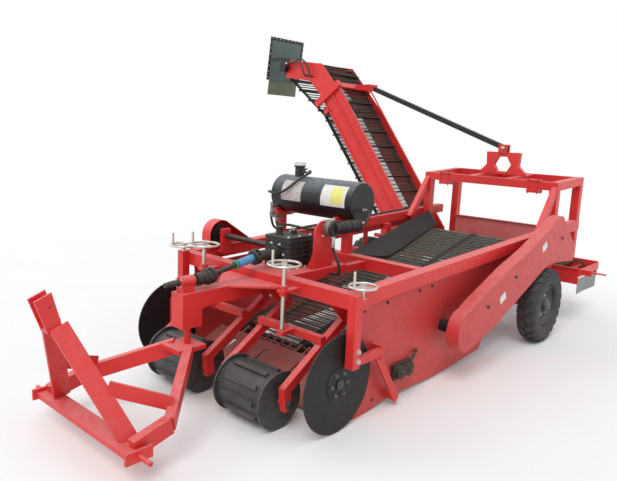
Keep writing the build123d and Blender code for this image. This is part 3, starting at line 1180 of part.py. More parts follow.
with BuildPart() as discharge_flap:
    leaning(CURTAIN_Z[0] - FLAP_DROP, CURTAIN_Z[0], CURTAIN_THICK,
            (frame_x[0] + CURTAIN_RAIL + 12, frame_x[1] - CURTAIN_RAIL - 12))
keep(discharge_flap, "discharge_flap")

rear_bearing = ELEV_REAR - 60
front_bearing = ELEV_FRONT + 32
bearing_z = span(ELEV_FOOT[1], 60)
with BuildPart() as elevator_bearings:
    block((rear_bearing, rear_bearing + BEARING_PLATE), (ELEV_FOOT[0] - 60, -GANTRY_HALF),
          (bearing_z[0], POST_FOOT + 170))
    block((front_bearing, front_bearing + BEARING_PLATE),
          (ELEV_FOOT[0] - 60, -PLATE_OUTER - RUN_GAP), bearing_z)
    block((front_bearing, front_bearing + BEARING_PLATE), (-FRAME_HALF, -PLATE_OUTER - RUN_GAP),
          (bearing_z[0], rail_bottom(front_bearing + BEARING_PLATE)))
    for low in (rear_bearing, front_bearing):
        rod((low - 5, *ELEV_FOOT), (low + 20, *ELEV_FOOT), PIVOT + PIN_FIT, mode=Mode.SUBTRACT)
keep(elevator_bearings, "elevator_bearings")

# ---- stay --------------------------------------------------------------------------------------
with BuildPart() as elevator_stay:
    reach = Vector(*STAY_EYE) - Vector(0, MAST_PIN_Z)
    way = reach.normalized()
    start = Vector(0, MAST_PIN_Z) + way * 30
    tip = Vector(0, MAST_PIN_Z) + way * (reach.length + STAY_TAIL)
    bar((MAST_X, start.X, start.Y), (MAST_X, tip.X, tip.Y), STAY_TUBE, STAY_TUBE)
    rod((MAST_X - STAY_TUBE / 2, 0, MAST_PIN_Z), (MAST_X + STAY_TUBE / 2, 0, MAST_PIN_Z), 34)
    rod((MAST_X - STAY_TUBE, 0, MAST_PIN_Z), (MAST_X + STAY_TUBE, 0, MAST_PIN_Z), STAY_PIN + PIN_FIT,
        mode=Mode.SUBTRACT)
keep(elevator_stay, "elevator_stay")

# ---- origin and export -------------------------------------------------------------------------
whole = Compound(pieces).bounding_box()
origin = (whole.center().X, whole.center().Y, 0.0)
print("origin shift", origin, "size", whole.size, "lowest", whole.min.Z)
for piece in pieces:
    placed = piece.moved(Location((-origin[0], -origin[1], -origin[2])))
    placed.label = piece.label
    export_step(placed, f"parts/{piece.label}.step")
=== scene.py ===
# %% [markdown]
# # A towed potato harvester, dressed
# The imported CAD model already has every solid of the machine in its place. This lesson gives the
# solids their finishes, swaps the tyres, the four sheets and the elevator's stay for modelled ones,
# and adds the small hardware that makes a machine look built: bolts, labels, ferrules and wheel
# nuts. Places are in millimetres, counted forward from the wheel axle, left from the machine's
# middle and up from the ground, as a workshop would measure them. A few sizes are in metres, and
# say so.

# %% The frame that everything stands in
from math import cos, pi, radians, sin, tan

import bmesh
import bpy
from mathutils import Matrix, Vector


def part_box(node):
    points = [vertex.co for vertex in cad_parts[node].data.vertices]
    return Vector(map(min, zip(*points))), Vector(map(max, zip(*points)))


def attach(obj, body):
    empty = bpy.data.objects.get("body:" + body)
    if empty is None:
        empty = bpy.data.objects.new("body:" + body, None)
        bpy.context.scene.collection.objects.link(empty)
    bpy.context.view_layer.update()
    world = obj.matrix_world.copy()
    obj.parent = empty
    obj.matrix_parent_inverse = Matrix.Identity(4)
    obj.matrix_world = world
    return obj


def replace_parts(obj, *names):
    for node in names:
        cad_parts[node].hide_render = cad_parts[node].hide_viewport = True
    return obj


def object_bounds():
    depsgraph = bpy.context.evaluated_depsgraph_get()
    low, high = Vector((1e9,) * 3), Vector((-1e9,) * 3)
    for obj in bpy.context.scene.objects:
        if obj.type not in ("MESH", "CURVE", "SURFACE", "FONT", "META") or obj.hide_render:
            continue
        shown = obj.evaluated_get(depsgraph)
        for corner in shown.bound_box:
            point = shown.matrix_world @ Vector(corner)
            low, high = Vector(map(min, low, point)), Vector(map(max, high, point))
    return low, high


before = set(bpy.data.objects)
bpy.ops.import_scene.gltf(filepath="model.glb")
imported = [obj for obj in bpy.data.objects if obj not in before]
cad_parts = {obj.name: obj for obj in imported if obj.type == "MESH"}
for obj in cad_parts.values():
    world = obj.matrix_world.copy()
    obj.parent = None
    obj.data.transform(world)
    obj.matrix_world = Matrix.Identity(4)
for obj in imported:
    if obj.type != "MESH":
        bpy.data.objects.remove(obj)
cad_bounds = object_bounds()

# %% One way to say where something is
AHEAD, LEFT, UP = Vector((1, 0, 0)), Vector((0, 1, 0)), Vector((0, 0, 1))
SIDES = (("left", 1), ("right", -1))


def box_of(node):
    """The low corner, the high corner and the centre of a solid's box."""
    low, high = (Vector(corner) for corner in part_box(node))
    return low, high, (low + high) / 2


left_low, left_high, _ = box_of("tyre_left")
right_high = box_of("tyre_right")[1]
AXLE_X = (left_low.x + left_high.x) / 2
MIDDLE_Y = (left_low.y + right_high.y) / 2


def at(x, y, z):
    """The point x mm ahead of the axle, y mm left of the middle and z mm above the ground."""
    return Vector((AXLE_X + x / 1000, MIDDLE_Y + y / 1000, z / 1000))


print("axle at", round(AXLE_X, 3), "middle at", round(MIDDLE_Y, 3))

# %% [markdown]
# ## Colours and nodes
# Paint charts and screens give colours as sRGB hex values, but the renderer adds light up in
# linear values. One function does that change, so that each finish below can be written as it
# looks. A second function adds a node with its settings and its links in one line, which keeps a
# material short enough to read from top to bottom.

# %% Two small helpers
def linear(hex_colour):
    """An sRGB hex colour as the linear RGBA that the shaders work in."""
    shares = [int(hex_colour[k:k + 2], 16) / 255 for k in (1, 3, 5)]
    return [s / 12.92 if s <= 0.04045 else ((s + 0.055) / 1.055) ** 2.4 for s in shares] + [1.0]


def wire(tree, kind, inputs=None, **settings):
    """A new node of this kind, with its settings, its values and its links."""
    made = tree.nodes.new(kind)
    for name, value in settings.items():
        setattr(made, name, value)
    for socket, value in (inputs or {}).items():
        if isinstance(value, bpy.types.NodeSocket):
            tree.links.new(value, made.inputs[socket])
        else:
            made.inputs[socket].default_value = value
    return made


print("enamel red in linear light:", [round(s, 3) for s in linear("#DA302D")])

# %% [markdown]
# ## A finish that has been to the field
# Every surface of a farm machine is a base material with the same four things on top of it: patches
# where it was sprayed or cast unevenly, pale dust on what faces the sky with a painted highlight in
# the same colour, soil on what is near the ground, and edges rubbed through with painted highlights
# along them. They could be painted as pictures, but noise that is laid out in real millimetres
# needs no pictures, has no seams and fits every size of part. One recipe takes the colours and
# sizes of a real material. Rubbed and highlighted edges come from the Bevel node: where the rounded
# normal differs from the flat one, there is an edge. The webs need one thing more: their rods and
# their rubber belts are one solid, so a range across the web tells them apart.

# %% What lies on top of a colour
def weathered(tree, colour, specks, layers):
    """A colour under layers of dust, soil and wear, some of them partly painted highlights, and how
    much of each layer lies there.

    A layer is what drives it, where it starts and is full, its strength, where its specks start
    and are full, the least that is left between them, and its colour.
    """
    shares = []
    for driver, (start, full), strength, (fine, coarse), least, tint in layers:
        place = wire(tree, "ShaderNodeMapRange", {
            "Value": driver, "From Min": start, "From Max": full, "To Max": strength})
        broken = wire(tree, "ShaderNodeMapRange", {
            "Value": specks.outputs["Fac"], "From Min": fine, "From Max": coarse, "To Min": least})
        share = wire(tree, "ShaderNodeMath", {
            0: place.outputs["Result"], 1: broken.outputs["Result"]}, operation="MULTIPLY")
        colour = wire(tree, "ShaderNodeMix", {
            0: share.outputs[0], 6: colour.outputs[2], 7: linear(tint)}, data_type="RGBA")
        shares.append(share)
    return colour, shares


# %% Where belts carry the rods
BELT_COLOUR = "#2B2B29"


def belted(tree, position, colour, metal, roughness, along, ranges):
    """The same colour, metal and roughness, but rubber inside some ranges in mm along an axis."""
    rubber = None
    for low, high in ranges:
        middle = (low + high) / 2
        belt = wire(tree, "ShaderNodeMath", {
            0: position.outputs[along], 1: at(middle, middle, 0)[along],
            2: (high - low) / 2000}, operation="COMPARE")
        if rubber:
            belt = wire(tree, "ShaderNodeMath", {
                0: rubber.outputs[0], 1: belt.outputs[0]}, operation="MAXIMUM")
        rubber = belt
    colour = wire(tree, "ShaderNodeMix", {
        0: rubber.outputs[0], 6: colour.outputs[2], 7: linear(BELT_COLOUR)}, data_type="RGBA")
    steel = wire(tree, "ShaderNodeMath", {
        0: rubber.outputs[0], 1: -metal, 2: metal}, operation="MULTIPLY_ADD")
    matt = wire(tree, "ShaderNodeMath", {0: rubber.outputs[0], 1: roughness}, operation="MAXIMUM")
    return colour, steel.outputs[0], matt.outputs[0]


# %% The recipe
SPECKS_PER_PATCH = 9


def surface(name, main, patch, dust_and_sheen, worn_and_glint, rough, *, patch_mm, grain_mm, relief_mm, dusty_and_sheen, soiled,
            rubbed_and_glint, metal=0.0, ior=1.5, edge_mm=2.5, soil="#6E5B47", coat=0.0, belts=None):
    """A worn finish with painted highlights on its top faces and edges: four hex colours, the least
    and the most roughness, sizes and strengths.

    belts is an axis and some ranges along it in mm: what lies inside them is the belts' rubber.
    """
    finish = bpy.data.materials.new(name)
    finish.use_nodes = True
    tree = finish.node_tree
    tree.nodes.clear()
    spot = wire(tree, "ShaderNodeTexCoord")
    facing = wire(tree, "ShaderNodeSeparateXYZ", {0: spot.outputs["Normal"]})
    position = wire(tree, "ShaderNodeSeparateXYZ", {0: spot.outputs["Object"]})
    patches = wire(tree, "ShaderNodeTexNoise", {
        "Vector": spot.outputs["Object"], "Scale": 1000 / patch_mm, "Detail": 6.0,
        "Roughness": 0.62})
    specks = wire(tree, "ShaderNodeTexNoise", {
        "Vector": spot.outputs["Object"], "Scale": SPECKS_PER_PATCH * 1000 / patch_mm,
        "Detail": 5.0, "Roughness": 0.7})
    grain = wire(tree, "ShaderNodeTexNoise", {
        "Vector": spot.outputs["Object"], "Scale": 1000 / grain_mm, "Detail": 3.0})
    # the base, sprayed or cast a little unevenly
    uneven = wire(tree, "ShaderNodeMapRange", {
        "Value": patches.outputs["Fac"], "From Min": 0.36, "From Max": 0.66})
    colour = wire(tree, "ShaderNodeMix", {
        0: uneven.outputs["Result"], 6: linear(main), 7: linear(patch)}, data_type="RGBA")
    # an edge is where the rounded normal differs from the flat one
    rounded = wire(tree, "ShaderNodeBevel", {"Radius": edge_mm / 1000}, samples=4)
    flat = wire(tree, "ShaderNodeNewGeometry")
    same = wire(tree, "ShaderNodeVectorMath", {
        0: rounded.outputs[0], 1: flat.outputs["Normal"]}, operation="DOT_PRODUCT")
    # dust and a painted highlight on what faces the sky, soil on what is below 0.75 m, and rubbed
    # edges with a painted highlight along them
    colour, (film, _, _) = weathered(tree, colour, specks, (
        (facing.outputs["Z"], (0.25, 0.95), dusty_and_sheen, (0.34, 0.62), 0.35, dust_and_sheen),
        (position.outputs["Z"], (0.75, 0.05), soiled, (0.44, 0.64), 0.0, soil),
        (same.outputs["Value"], (0.97, 0.80), rubbed_and_glint, (0.38, 0.58), 0.25, worn_and_glint)))
    # where the top layer of dust and painted highlight lies, the gloss is duller
    shine = wire(tree, "ShaderNodeMapRange", {
        "Value": specks.outputs["Fac"], "From Min": 0.3, "From Max": 0.7,
        "To Min": rough[0], "To Max": rough[1]})
    dulled = wire(tree, "ShaderNodeMath", {
        0: film.outputs[0], 1: 0.35, 2: shine.outputs["Result"]}, operation="MULTIPLY_ADD")
    relief = wire(tree, "ShaderNodeBump", {
        "Strength": 0.5, "Distance": relief_mm / 1000, "Height": grain.outputs["Fac"],
        "Normal": rounded.outputs[0]})
    metallic, roughness = metal, dulled.outputs[0]
    if belts:
        colour, metallic, roughness = belted(tree, position, colour, metal, roughness,
                                             *belts)
    shader = wire(tree, "ShaderNodeBsdfPrincipled", {
        "Base Color": colour.outputs[2], "Metallic": metallic, "Roughness": roughness,
        "IOR": ior, "Coat Weight": coat, "Normal": relief.outputs[0]})
    wire(tree, "ShaderNodeOutputMaterial", {"Surface": shader.outputs[0]})
    print("finish:", name, "patches of", patch_mm, "mm")
    return finish


# %% [markdown]
# ## The finishes
# Nearly all of the machine is mild steel under red enamel, sprayed on and air dried. What digs or
# rolls in the soil has lost its paint or half of it. Screws and handwheels are zinc plated,
# castings are sand-rough, and belts and tyres are rubber. The scales are real ones. Plating, lathe
# marks, film and the weave under coated cloth have a grain far below 1 mm, which would not show,
# so theirs is drawn at about 1 to 2.4 mm.

# %% Red and black enamel on steel
# sprayed and air dried: smooth and fairly glossy, with a soft orange peel of about 3 mm; its pink
# on top faces and pale pink edges are partly dust and wear, partly painted highlight
red_enamel = surface(
    "red_enamel_on_steel", "#DA302D", "#CE2726", "#E59A98", "#F08A80", (0.30, 0.48),
    patch_mm=420.0, grain_mm=3.0, relief_mm=0.06, dusty_and_sheen=0.5, soiled=0.22, rubbed_and_glint=0.55)
# the same film inside the machine, chalky and pink: partly its dust, partly painted light, drawn
# lighter than the red enamel so that the rear panel, which stands in shade, looks lit
inner_enamel_chalky_and_lit = surface(
    "chalky_red_enamel_painted_lit", "#E8827E", "#DE706D", "#E6A09B", "#F0A29A", (0.42, 0.6),
    patch_mm=380.0, grain_mm=3.0, relief_mm=0.06, dusty_and_sheen=0.5, soiled=0.15, rubbed_and_glint=0.5)
# the same film on wide, thin sheet: duller, in broad patches; pink on top and pale at the edges,
# partly dust and wear, partly painted highlight
panel_enamel = surface(
    "dusty_red_enamel_on_sheet", "#CC3E3C", "#C23434", "#DE8C86", "#F09A90", (0.36, 0.54),
    patch_mm=520.0, grain_mm=3.0, relief_mm=0.06, dusty_and_sheen=0.5, soiled=0.25, rubbed_and_glint=0.6)
# one thick coat on tank, stay and motor: nearly black; the pale grey-blue on its top faces is
# partly dust and partly a painted sky highlight
black_enamel = surface(
    "black_enamel_on_steel", "#141517", "#1B1C1F", "#A4ABB3", "#4B4D50", (0.26, 0.40), ior=1.45,
    patch_mm=300.0, grain_mm=3.0, relief_mm=0.04, dusty_and_sheen=0.5, soiled=0.0, rubbed_and_glint=0.3)

# %% Bare, plated and cast metals
# bare mild steel polished by soil: a dull brown grey, bright along its edges
soil_steel = surface(
    "soil_polished_steel", "#4A4744", "#37332F", "#8B7C6B", "#A9A49B", (0.42, 0.62), metal=0.75,
    patch_mm=90.0, grain_mm=1.2, relief_mm=0.10, dusty_and_sheen=0.35, soiled=0.35, rubbed_and_glint=0.9)
# hot rolled disc steel with its black scale on, ground bright at the rim
disc_steel = surface(
    "blackened_disc_steel", "#26282A", "#1D1F21", "#5B5650", "#8D8C88", (0.40, 0.58), metal=0.55,
    patch_mm=160.0, grain_mm=1.5, relief_mm=0.08, dusty_and_sheen=0.2, soiled=0.25, rubbed_and_glint=0.9, edge_mm=4.0)
# rolled plate scoured by the field: a middle grey in small patches
roller_steel = surface(
    "field_worn_roller_steel", "#515456", "#3E4143", "#7E7A74", "#A5A6A5", (0.44, 0.62), metal=0.55,
    patch_mm=130.0, grain_mm=1.5, relief_mm=0.10, dusty_and_sheen=0.35, soiled=0.3, rubbed_and_glint=0.9, edge_mm=3.0)
# hardened plate whose red paint is half gone
share_steel = surface(
    "share_with_worn_paint", "#BE4742", "#A8645C", "#B08F86", "#A29C92", (0.5, 0.7), metal=0.1,
    patch_mm=150.0, grain_mm=1.4, relief_mm=0.12, dusty_and_sheen=0.4, soiled=0.35, rubbed_and_glint=0.9)
# electroplated: bright, with a faint yellow from its passivation
zinc_plate = surface(
    "zinc_plate_on_steel", "#D3D3D0", "#C9C4B4", "#B8B2A4", "#E9E9E6", (0.22, 0.38), metal=0.9,
    patch_mm=60.0, grain_mm=1.0, relief_mm=0.03, dusty_and_sheen=0.15, soiled=0.1, rubbed_and_glint=0.3)
# sand-cast iron under black primer: rough, with dust in its pores
primed_casting = surface(
    "primed_iron_casting", "#2C2E2F", "#232425", "#6F675D", "#5E5C58", (0.42, 0.6), metal=0.2,
    patch_mm=80.0, grain_mm=1.6, relief_mm=0.22, dusty_and_sheen=0.45, soiled=0.1, rubbed_and_glint=0.6, soil="#5A4C3E")
# sand-cast aluminium, never painted: light grey, matt with dust
grey_casting = surface(
    "dusty_aluminium_casting", "#8E8B86", "#77736D", "#B0A595", "#C9C6C0", (0.45, 0.62), metal=0.6,
    patch_mm=70.0, grain_mm=1.6, relief_mm=0.2, dusty_and_sheen=0.5, soiled=0.0, rubbed_and_glint=0.5)
# turned on a lathe: the brightest metal here
bright_aluminium = surface(
    "turned_aluminium", "#D5D6D6", "#C6C8CA", "#C9C4BA", "#F0F0F0", (0.2, 0.34), metal=0.95,
    patch_mm=60.0, grain_mm=0.8, relief_mm=0.03, dusty_and_sheen=0.15, soiled=0.0, rubbed_and_glint=0.3)
# pressed steel under grey paint, dulled by the road
wheel_steel = surface(
    "grey_painted_wheel_steel", "#55585A", "#484B4D", "#8B857C", "#9A9B9A", (0.42, 0.58), metal=0.3,
    patch_mm=120.0, grain_mm=2.0, relief_mm=0.06, dusty_and_sheen=0.4, soiled=0.4, rubbed_and_glint=0.6)

# %% Webs: steel rods on rubber belts, told apart by where the belts run
# drawn steel rods, polished by the crop on the main web
main_web_steel = surface(
    "web_rods_on_three_belts", "#62665F", "#4A4C47", "#94917F", "#B5B3A6", (0.34, 0.5), metal=0.6,
    patch_mm=60.0, grain_mm=1.2, relief_mm=0.1, dusty_and_sheen=0.5, soiled=0.25, rubbed_and_glint=0.8,
    belts=(1, ((-740, -680), (-30, 30), (680, 740))))
# the same rods, still dark with scale and earth on the elevator
elevator_web_steel = surface(
    "web_rods_on_two_belts", "#34332F", "#262522", "#8A7A66", "#8D877C", (0.4, 0.58), metal=0.6,
    patch_mm=60.0, grain_mm=1.2, relief_mm=0.1, dusty_and_sheen=0.35, soiled=0.0, rubbed_and_glint=0.7,
    belts=(0, ((-1480, -1420), (-880, -820))))
# and nearly bright on the cross conveyor, where the crop slides most
cross_web_steel = surface(
    "cross_web_rods_on_belts", "#55534D", "#3D3A34", "#9A8B77", "#BDB7AB", (0.34, 0.5), metal=0.8,
    patch_mm=60.0, grain_mm=1.2, relief_mm=0.1, dusty_and_sheen=0.45, soiled=0.2, rubbed_and_glint=0.8,
    belts=(0, ((-1448, -1388), (-930, -870))))

# %% Rubber, plastic and coated cloth
# extruded and cured under a cloth wrap, which leaves a fine grain: black without gloss
hose_rubber = surface(
    "vulcanised_hose_rubber", "#26272A", "#1E1F21", "#6F6A63", "#3A3A3B", (0.45, 0.6),
    patch_mm=40.0, grain_mm=2.2, relief_mm=0.25, dusty_and_sheen=0.35, soiled=0.0, rubbed_and_glint=0.2)
tank_hose_rubber = surface(
    "fine_wrapped_hose_rubber", "#26272A", "#1E1F21", "#6F6A63", "#3A3A3B", (0.45, 0.6),
    patch_mm=40.0, grain_mm=1.6, relief_mm=0.25, dusty_and_sheen=0.35, soiled=0.0, rubbed_and_glint=0.2)
# calendered sheet: nearly black, and the dullest surface here
sheet_rubber = surface(
    "ribbed_sheet_rubber", "#1B1D1C", "#151615", "#5E584F", "#3D3E3A", (0.6, 0.78),
    patch_mm=150.0, grain_mm=2.5, relief_mm=0.25, dusty_and_sheen=0.12, soiled=0.1, rubbed_and_glint=0.4)
# moulded and cured: dark grey, with dry earth on its lower half
tyre_rubber = surface(
    "vulcanised_tyre_rubber", "#303133", "#27282A", "#6A655D", "#4A4A49", (0.62, 0.82),
    patch_mm=90.0, grain_mm=2.0, relief_mm=0.3, dusty_and_sheen=0.35, soiled=0.45, rubbed_and_glint=0.4, edge_mm=2.0,
    soil="#75695B")
# injection moulded: even in colour, half gloss, whitened where it is scuffed
blue_plastic = surface(
    "moulded_blue_plastic", "#4F93BF", "#3F82AF", "#94AAB8", "#9CC0DC", (0.32, 0.48), ior=1.46,
    patch_mm=60.0, grain_mm=1.5, relief_mm=0.05, dusty_and_sheen=0.35, soiled=0.0, rubbed_and_glint=0.3)
green_plastic = surface(
    "moulded_green_plastic", "#3F8F5A", "#347A4B", "#8CA58F", "#86B597", (0.34, 0.5), ior=1.46,
    patch_mm=30.0, grain_mm=1.5, relief_mm=0.05, dusty_and_sheen=0.3, soiled=0.0, rubbed_and_glint=0.3)
# cloth coated with plastic: a smooth skin over a weave that still shows in its relief
curtain_cloth = surface(
    "slate_coated_cloth", "#5E6D69", "#53625F", "#8B9490", "#7C8985", (0.4, 0.56),
    patch_mm=180.0, grain_mm=2.4, relief_mm=0.3, dusty_and_sheen=0.2, soiled=0.0, rubbed_and_glint=0.2)
flap_cloth = surface(
    "olive_coated_cloth", "#6E765C", "#5F674E", "#959A84", "#8A9176", (0.36, 0.52),
    patch_mm=140.0, grain_mm=2.4, relief_mm=0.3, dusty_and_sheen=0.25, soiled=0.0, rubbed_and_glint=0.2)
# rubbered cloth, wet with oil: its film gives it a second, sharper gloss
tail_cloth = surface(
    "oily_grey_rubber_cloth", "#6B7069", "#5A5F58", "#8E918A", "#82867E", (0.28, 0.44),
    patch_mm=60.0, grain_mm=2.4, relief_mm=0.35, dusty_and_sheen=0.25, soiled=0.3, rubbed_and_glint=0.3, coat=0.2)

# %% Blank labels: printed film with nothing printed on it
# vinyl film: smooth and half gloss, and so thin that its edges don't wear
white_film = surface(
    "white_label_film", "#E4E2DD", "#D6D3CC", "#C9BFB2", "#D8D6D0", (0.28, 0.42),
    patch_mm=50.0, grain_mm=1.5, relief_mm=0.02, dusty_and_sheen=0.3, soiled=0.0, rubbed_and_glint=0.3, edge_mm=0.1)
yellow_film = surface(
    "yellow_label_film", "#E8DF7C", "#DDD36C", "#CFC58F", "#E6DFA0", (0.28, 0.42),
    patch_mm=50.0, grain_mm=1.5, relief_mm=0.02, dusty_and_sheen=0.2, soiled=0.0, rubbed_and_glint=0.3, edge_mm=0.1)
grey_film = surface(
    "grey_label_film", "#C9C2BE", "#A89C98", "#B5ABA0", "#D0CCC6", (0.3, 0.45),
    patch_mm=30.0, grain_mm=1.5, relief_mm=0.02, dusty_and_sheen=0.3, soiled=0.0, rubbed_and_glint=0.3, edge_mm=0.1)

# %% [markdown]
# ## Dressing the CAD solids
# A carried-over solid keeps its mesh and its name, and only its material slots change. A table from
# finish to node names is easier to check than sixty lines of code, and the loop stops with an
# error if a name isn't there.

# %% Which solid has which finish
finish_of = {
    red_enamel: """main_frame drawbar kingpin hitch_frame screw_brackets pump_bracket tank_stand
        gantry clamp_pads mast cross_frame elevator_bearings pto_bearing belt_case
        roller_arms_left roller_arms_right coulter_shanks wheel_axle elevator_frame""",
    panel_enamel: "side_plate_left side_plate_right chain_case baffle_brackets",
    inner_enamel_chalky_and_lit: "rear_panel",
    black_enamel: "oil_tank elevator_stay head_motor curtain_frame",
    soil_steel: "cross_shaft web_shafts elevator_rollers side_shakers pto_shaft",
    disc_steel: "coulter_disc_left coulter_disc_right case_mounts",
    roller_steel: "ridge_roller_left ridge_roller_right",
    share_steel: "digging_share",
    zinc_plate: "coulter_handwheels depth_screw_left depth_screw_right",
    primed_casting: "gearbox pump tank_filter",
    grey_casting: "valve_block",
    wheel_steel: "rim_left rim_right",
    main_web_steel: "main_web",
    elevator_web_steel: "elevator_web",
    cross_web_steel: "cross_web",
    hose_rubber: "head_hoses",
    tank_hose_rubber: "oil_hoses",
    sheet_rubber: "rubber_baffle",
    tyre_rubber: "tyre_left tyre_right",
    blue_plastic: "pto_sleeve",
    curtain_cloth: "curtain",
    flap_cloth: "discharge_flap",
    tail_cloth: "tail_flap",
}
dressed = 0
for finish, names in finish_of.items():
    for name in names.split():
        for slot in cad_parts[name].material_slots:
            slot.material = finish
        dressed += 1
print("dressed", dressed, "of", len(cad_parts), "solids")

# %% [markdown]
# ## Ways to make hardware
# Real hardware is turned on a lathe or cut from plate. Blender's own cylinders and cubes could be
# stretched to these shapes, but two bmesh functions that work as the workshop does are shorter and
# can be used hundreds of times. Both lay loops of points one after another and put a skin on them:
# a turned shape is a stack of circles, and a plate is its outline twice.

# %% Turned and cut
def skin(bm, loops, ring=False):
    """Faces from each loop of points to the next, closed to a ring or capped at both ends."""
    pairs = list(zip(loops, loops[1:])) + ([(loops[-1], loops[0])] if ring else [])
    for low, high in pairs:
        for k in range(len(low)):
            after = (k + 1) % len(low)
            bm.faces.new((low[k], low[after], high[after], high[k]))
    if not ring:
        bm.faces.new(loops[0][::-1])
        bm.faces.new(loops[-1])


def circle(bm, centre, out, across, radius, sides):
    """A loop of points, a radius in mm from a centre, in the plane of two directions."""
    return [bm.verts.new(centre + (out * cos(t) + across * sin(t)) * radius / 1000)
            for t in (2 * pi * k / sides for k in range(sides))]


def turned(bm, profile, foot, along, sides=24, ring=False):
    """A profile of (radius, height) in mm, turned about the line from foot along a direction."""
    along = Vector(along).normalized()
    out = along.orthogonal().normalized()
    across = along.cross(out)
    skin(bm, [circle(bm, foot + along * height / 1000, out, across, radius, sides)
              for radius, height in profile], ring)


def cut_plate(bm, outline, thickness):
    """A flat outline of points, made thick by moving it along a vector."""
    skin(bm, [[bm.verts.new(point + move) for point in outline]
              for move in (Vector(), thickness)])


sample = bmesh.new()
turned(sample, [(9, 0), (9, 2)], at(0, 0, 0), UP)
print("a plain washer blank has", len(sample.faces), "faces")
sample.free()

# %% [markdown]
# ## From mesh to piece
# A piece is a mesh with a name, a finish and the body that it rides on. Its normals are turned
# outward, and edges sharper than 35 degrees stay crisp while the rest is shaded smooth, so a turned
# shape looks round with few sides. Cut plates may get a small bevel, because no real edge is
# perfectly sharp.

# %% A finished piece
def stand(name, bm, finish, body, rounding=0.0):
    """Turn a bmesh into a named piece that rides on a body and wears a finish."""
    bmesh.ops.recalc_face_normals(bm, faces=bm.faces)
    mesh = bpy.data.meshes.new(name)
    bm.to_mesh(mesh)
    bm.free()
    mesh.polygons.foreach_set("use_smooth", [True] * len(mesh.polygons))
    mesh.set_sharp_from_angle(angle=radians(35))
    mesh.materials.append(finish)
    piece = bpy.data.objects.new(name, mesh)
    bpy.context.collection.objects.link(piece)
    if rounding:
        edges = piece.modifiers.new("rounded_edges", "BEVEL")
        edges.width = rounding / 1000
        edges.segments = 2
        edges.limit_method = "ANGLE"
    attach(piece, body)
    print("piece:", name, "on", body, len(mesh.polygons), "faces")
    return piece


def turned_piece(name, shapes, finish, body):
    """Turned shapes as one piece, each given by the values that turned() takes after the bmesh."""
    bm = bmesh.new()
    for shape in shapes:
        turned(bm, *shape)
    stand(name, bm, finish, body)


# %% [markdown]
# ## Bolts
# A bolt's head shows three shapes: a round washer, a hexagon and the end of the thread. All of them
# grow with the width across the hexagon's flats, as they do in the standards. Bolts of one kind on
# one body go into one mesh, because a scene with hundreds of objects is slow.

# %% Bolts, alone and in circles
def bolt(bm, foot, along, flats):
    """A washer, a hexagon this wide across its flats and the thread's end, in mm."""
    corner = flats / 2 / cos(pi / 6)
    washer = [(flats * 0.72, -0.5), (flats * 0.72, 1.4), (flats * 0.66, 2.0)]
    head = [(corner, 1.5), (corner, flats * 0.46), (corner * 0.84, flats * 0.56)]
    thread = [(flats * 0.27, 1.0), (flats * 0.27, flats * 0.66), (flats * 0.2, flats * 0.72)]
    for profile, sides in ((washer, 20), (head, 6), (thread, 12)):
        turned(bm, profile, foot, along, sides)


def bolted(name, places, flats, body, finish=zinc_plate):
    """Bolts at some places, each given by its foot and its direction, as one piece."""
    bm = bmesh.new()
    for foot, along in places:
        bolt(bm, foot, along, flats)
    stand(name, bm, finish, body)


def bolt_circle(centre, along, radius, count, first=0.0):
    """Places on a circle of a radius in mm, square to a level direction that the bolts face."""
    out = LEFT if abs(along.x) > 0.5 else AHEAD
    return [(centre + (out * cos(t) + UP * sin(t)) * radius / 1000, along)
            for t in (first + 2 * pi * k / count for k in range(count))]


# %% [markdown]
# ## Tyres
# An implement tyre is a smooth round carcass with thick rubber lugs moulded across its shoulders.
# Displacing a torus would need a very fine mesh to get their square sides, so each lug is made from
# six cross-sections that follow the carcass from the middle of the tread round to the side wall,
# and then copied round the wheel. The left and right rows are half a step apart, as on the real
# mould, so the tyre rolls smoothly.

# %% The carcass and its lugs
TYRE_CARCASS = (          # radius in mm, share of half the tyre's width
    (199, 0.70), (208, 0.86), (240, 0.95), (275, 0.975), (305, 0.96), (325, 0.915), (338, 0.83),
    (345, 0.66), (349, 0.35), (350, 0.0))
LUG_TOP = ((365.0, 0.03), (364.5, 0.34), (361, 0.66), (350, 0.88), (329, 0.985), (300, 1.0))
LUG_FOOT = ((347, 0.03), (346, 0.34), (342, 0.62), (334, 0.80), (316, 0.90), (296, 0.945))
LUG_COUNT = 22
LUG_SHARE = 0.27          # half the lug's width, as a share of the pitch
LUG_SPREAD = 1.25         # its foot is this much wider than its top
LUG_LEAN = 0.55           # how far a lug leans round the tyre, as a share of the pitch
LEAN_ENDS = 4             # the cross-section at which it stops leaning


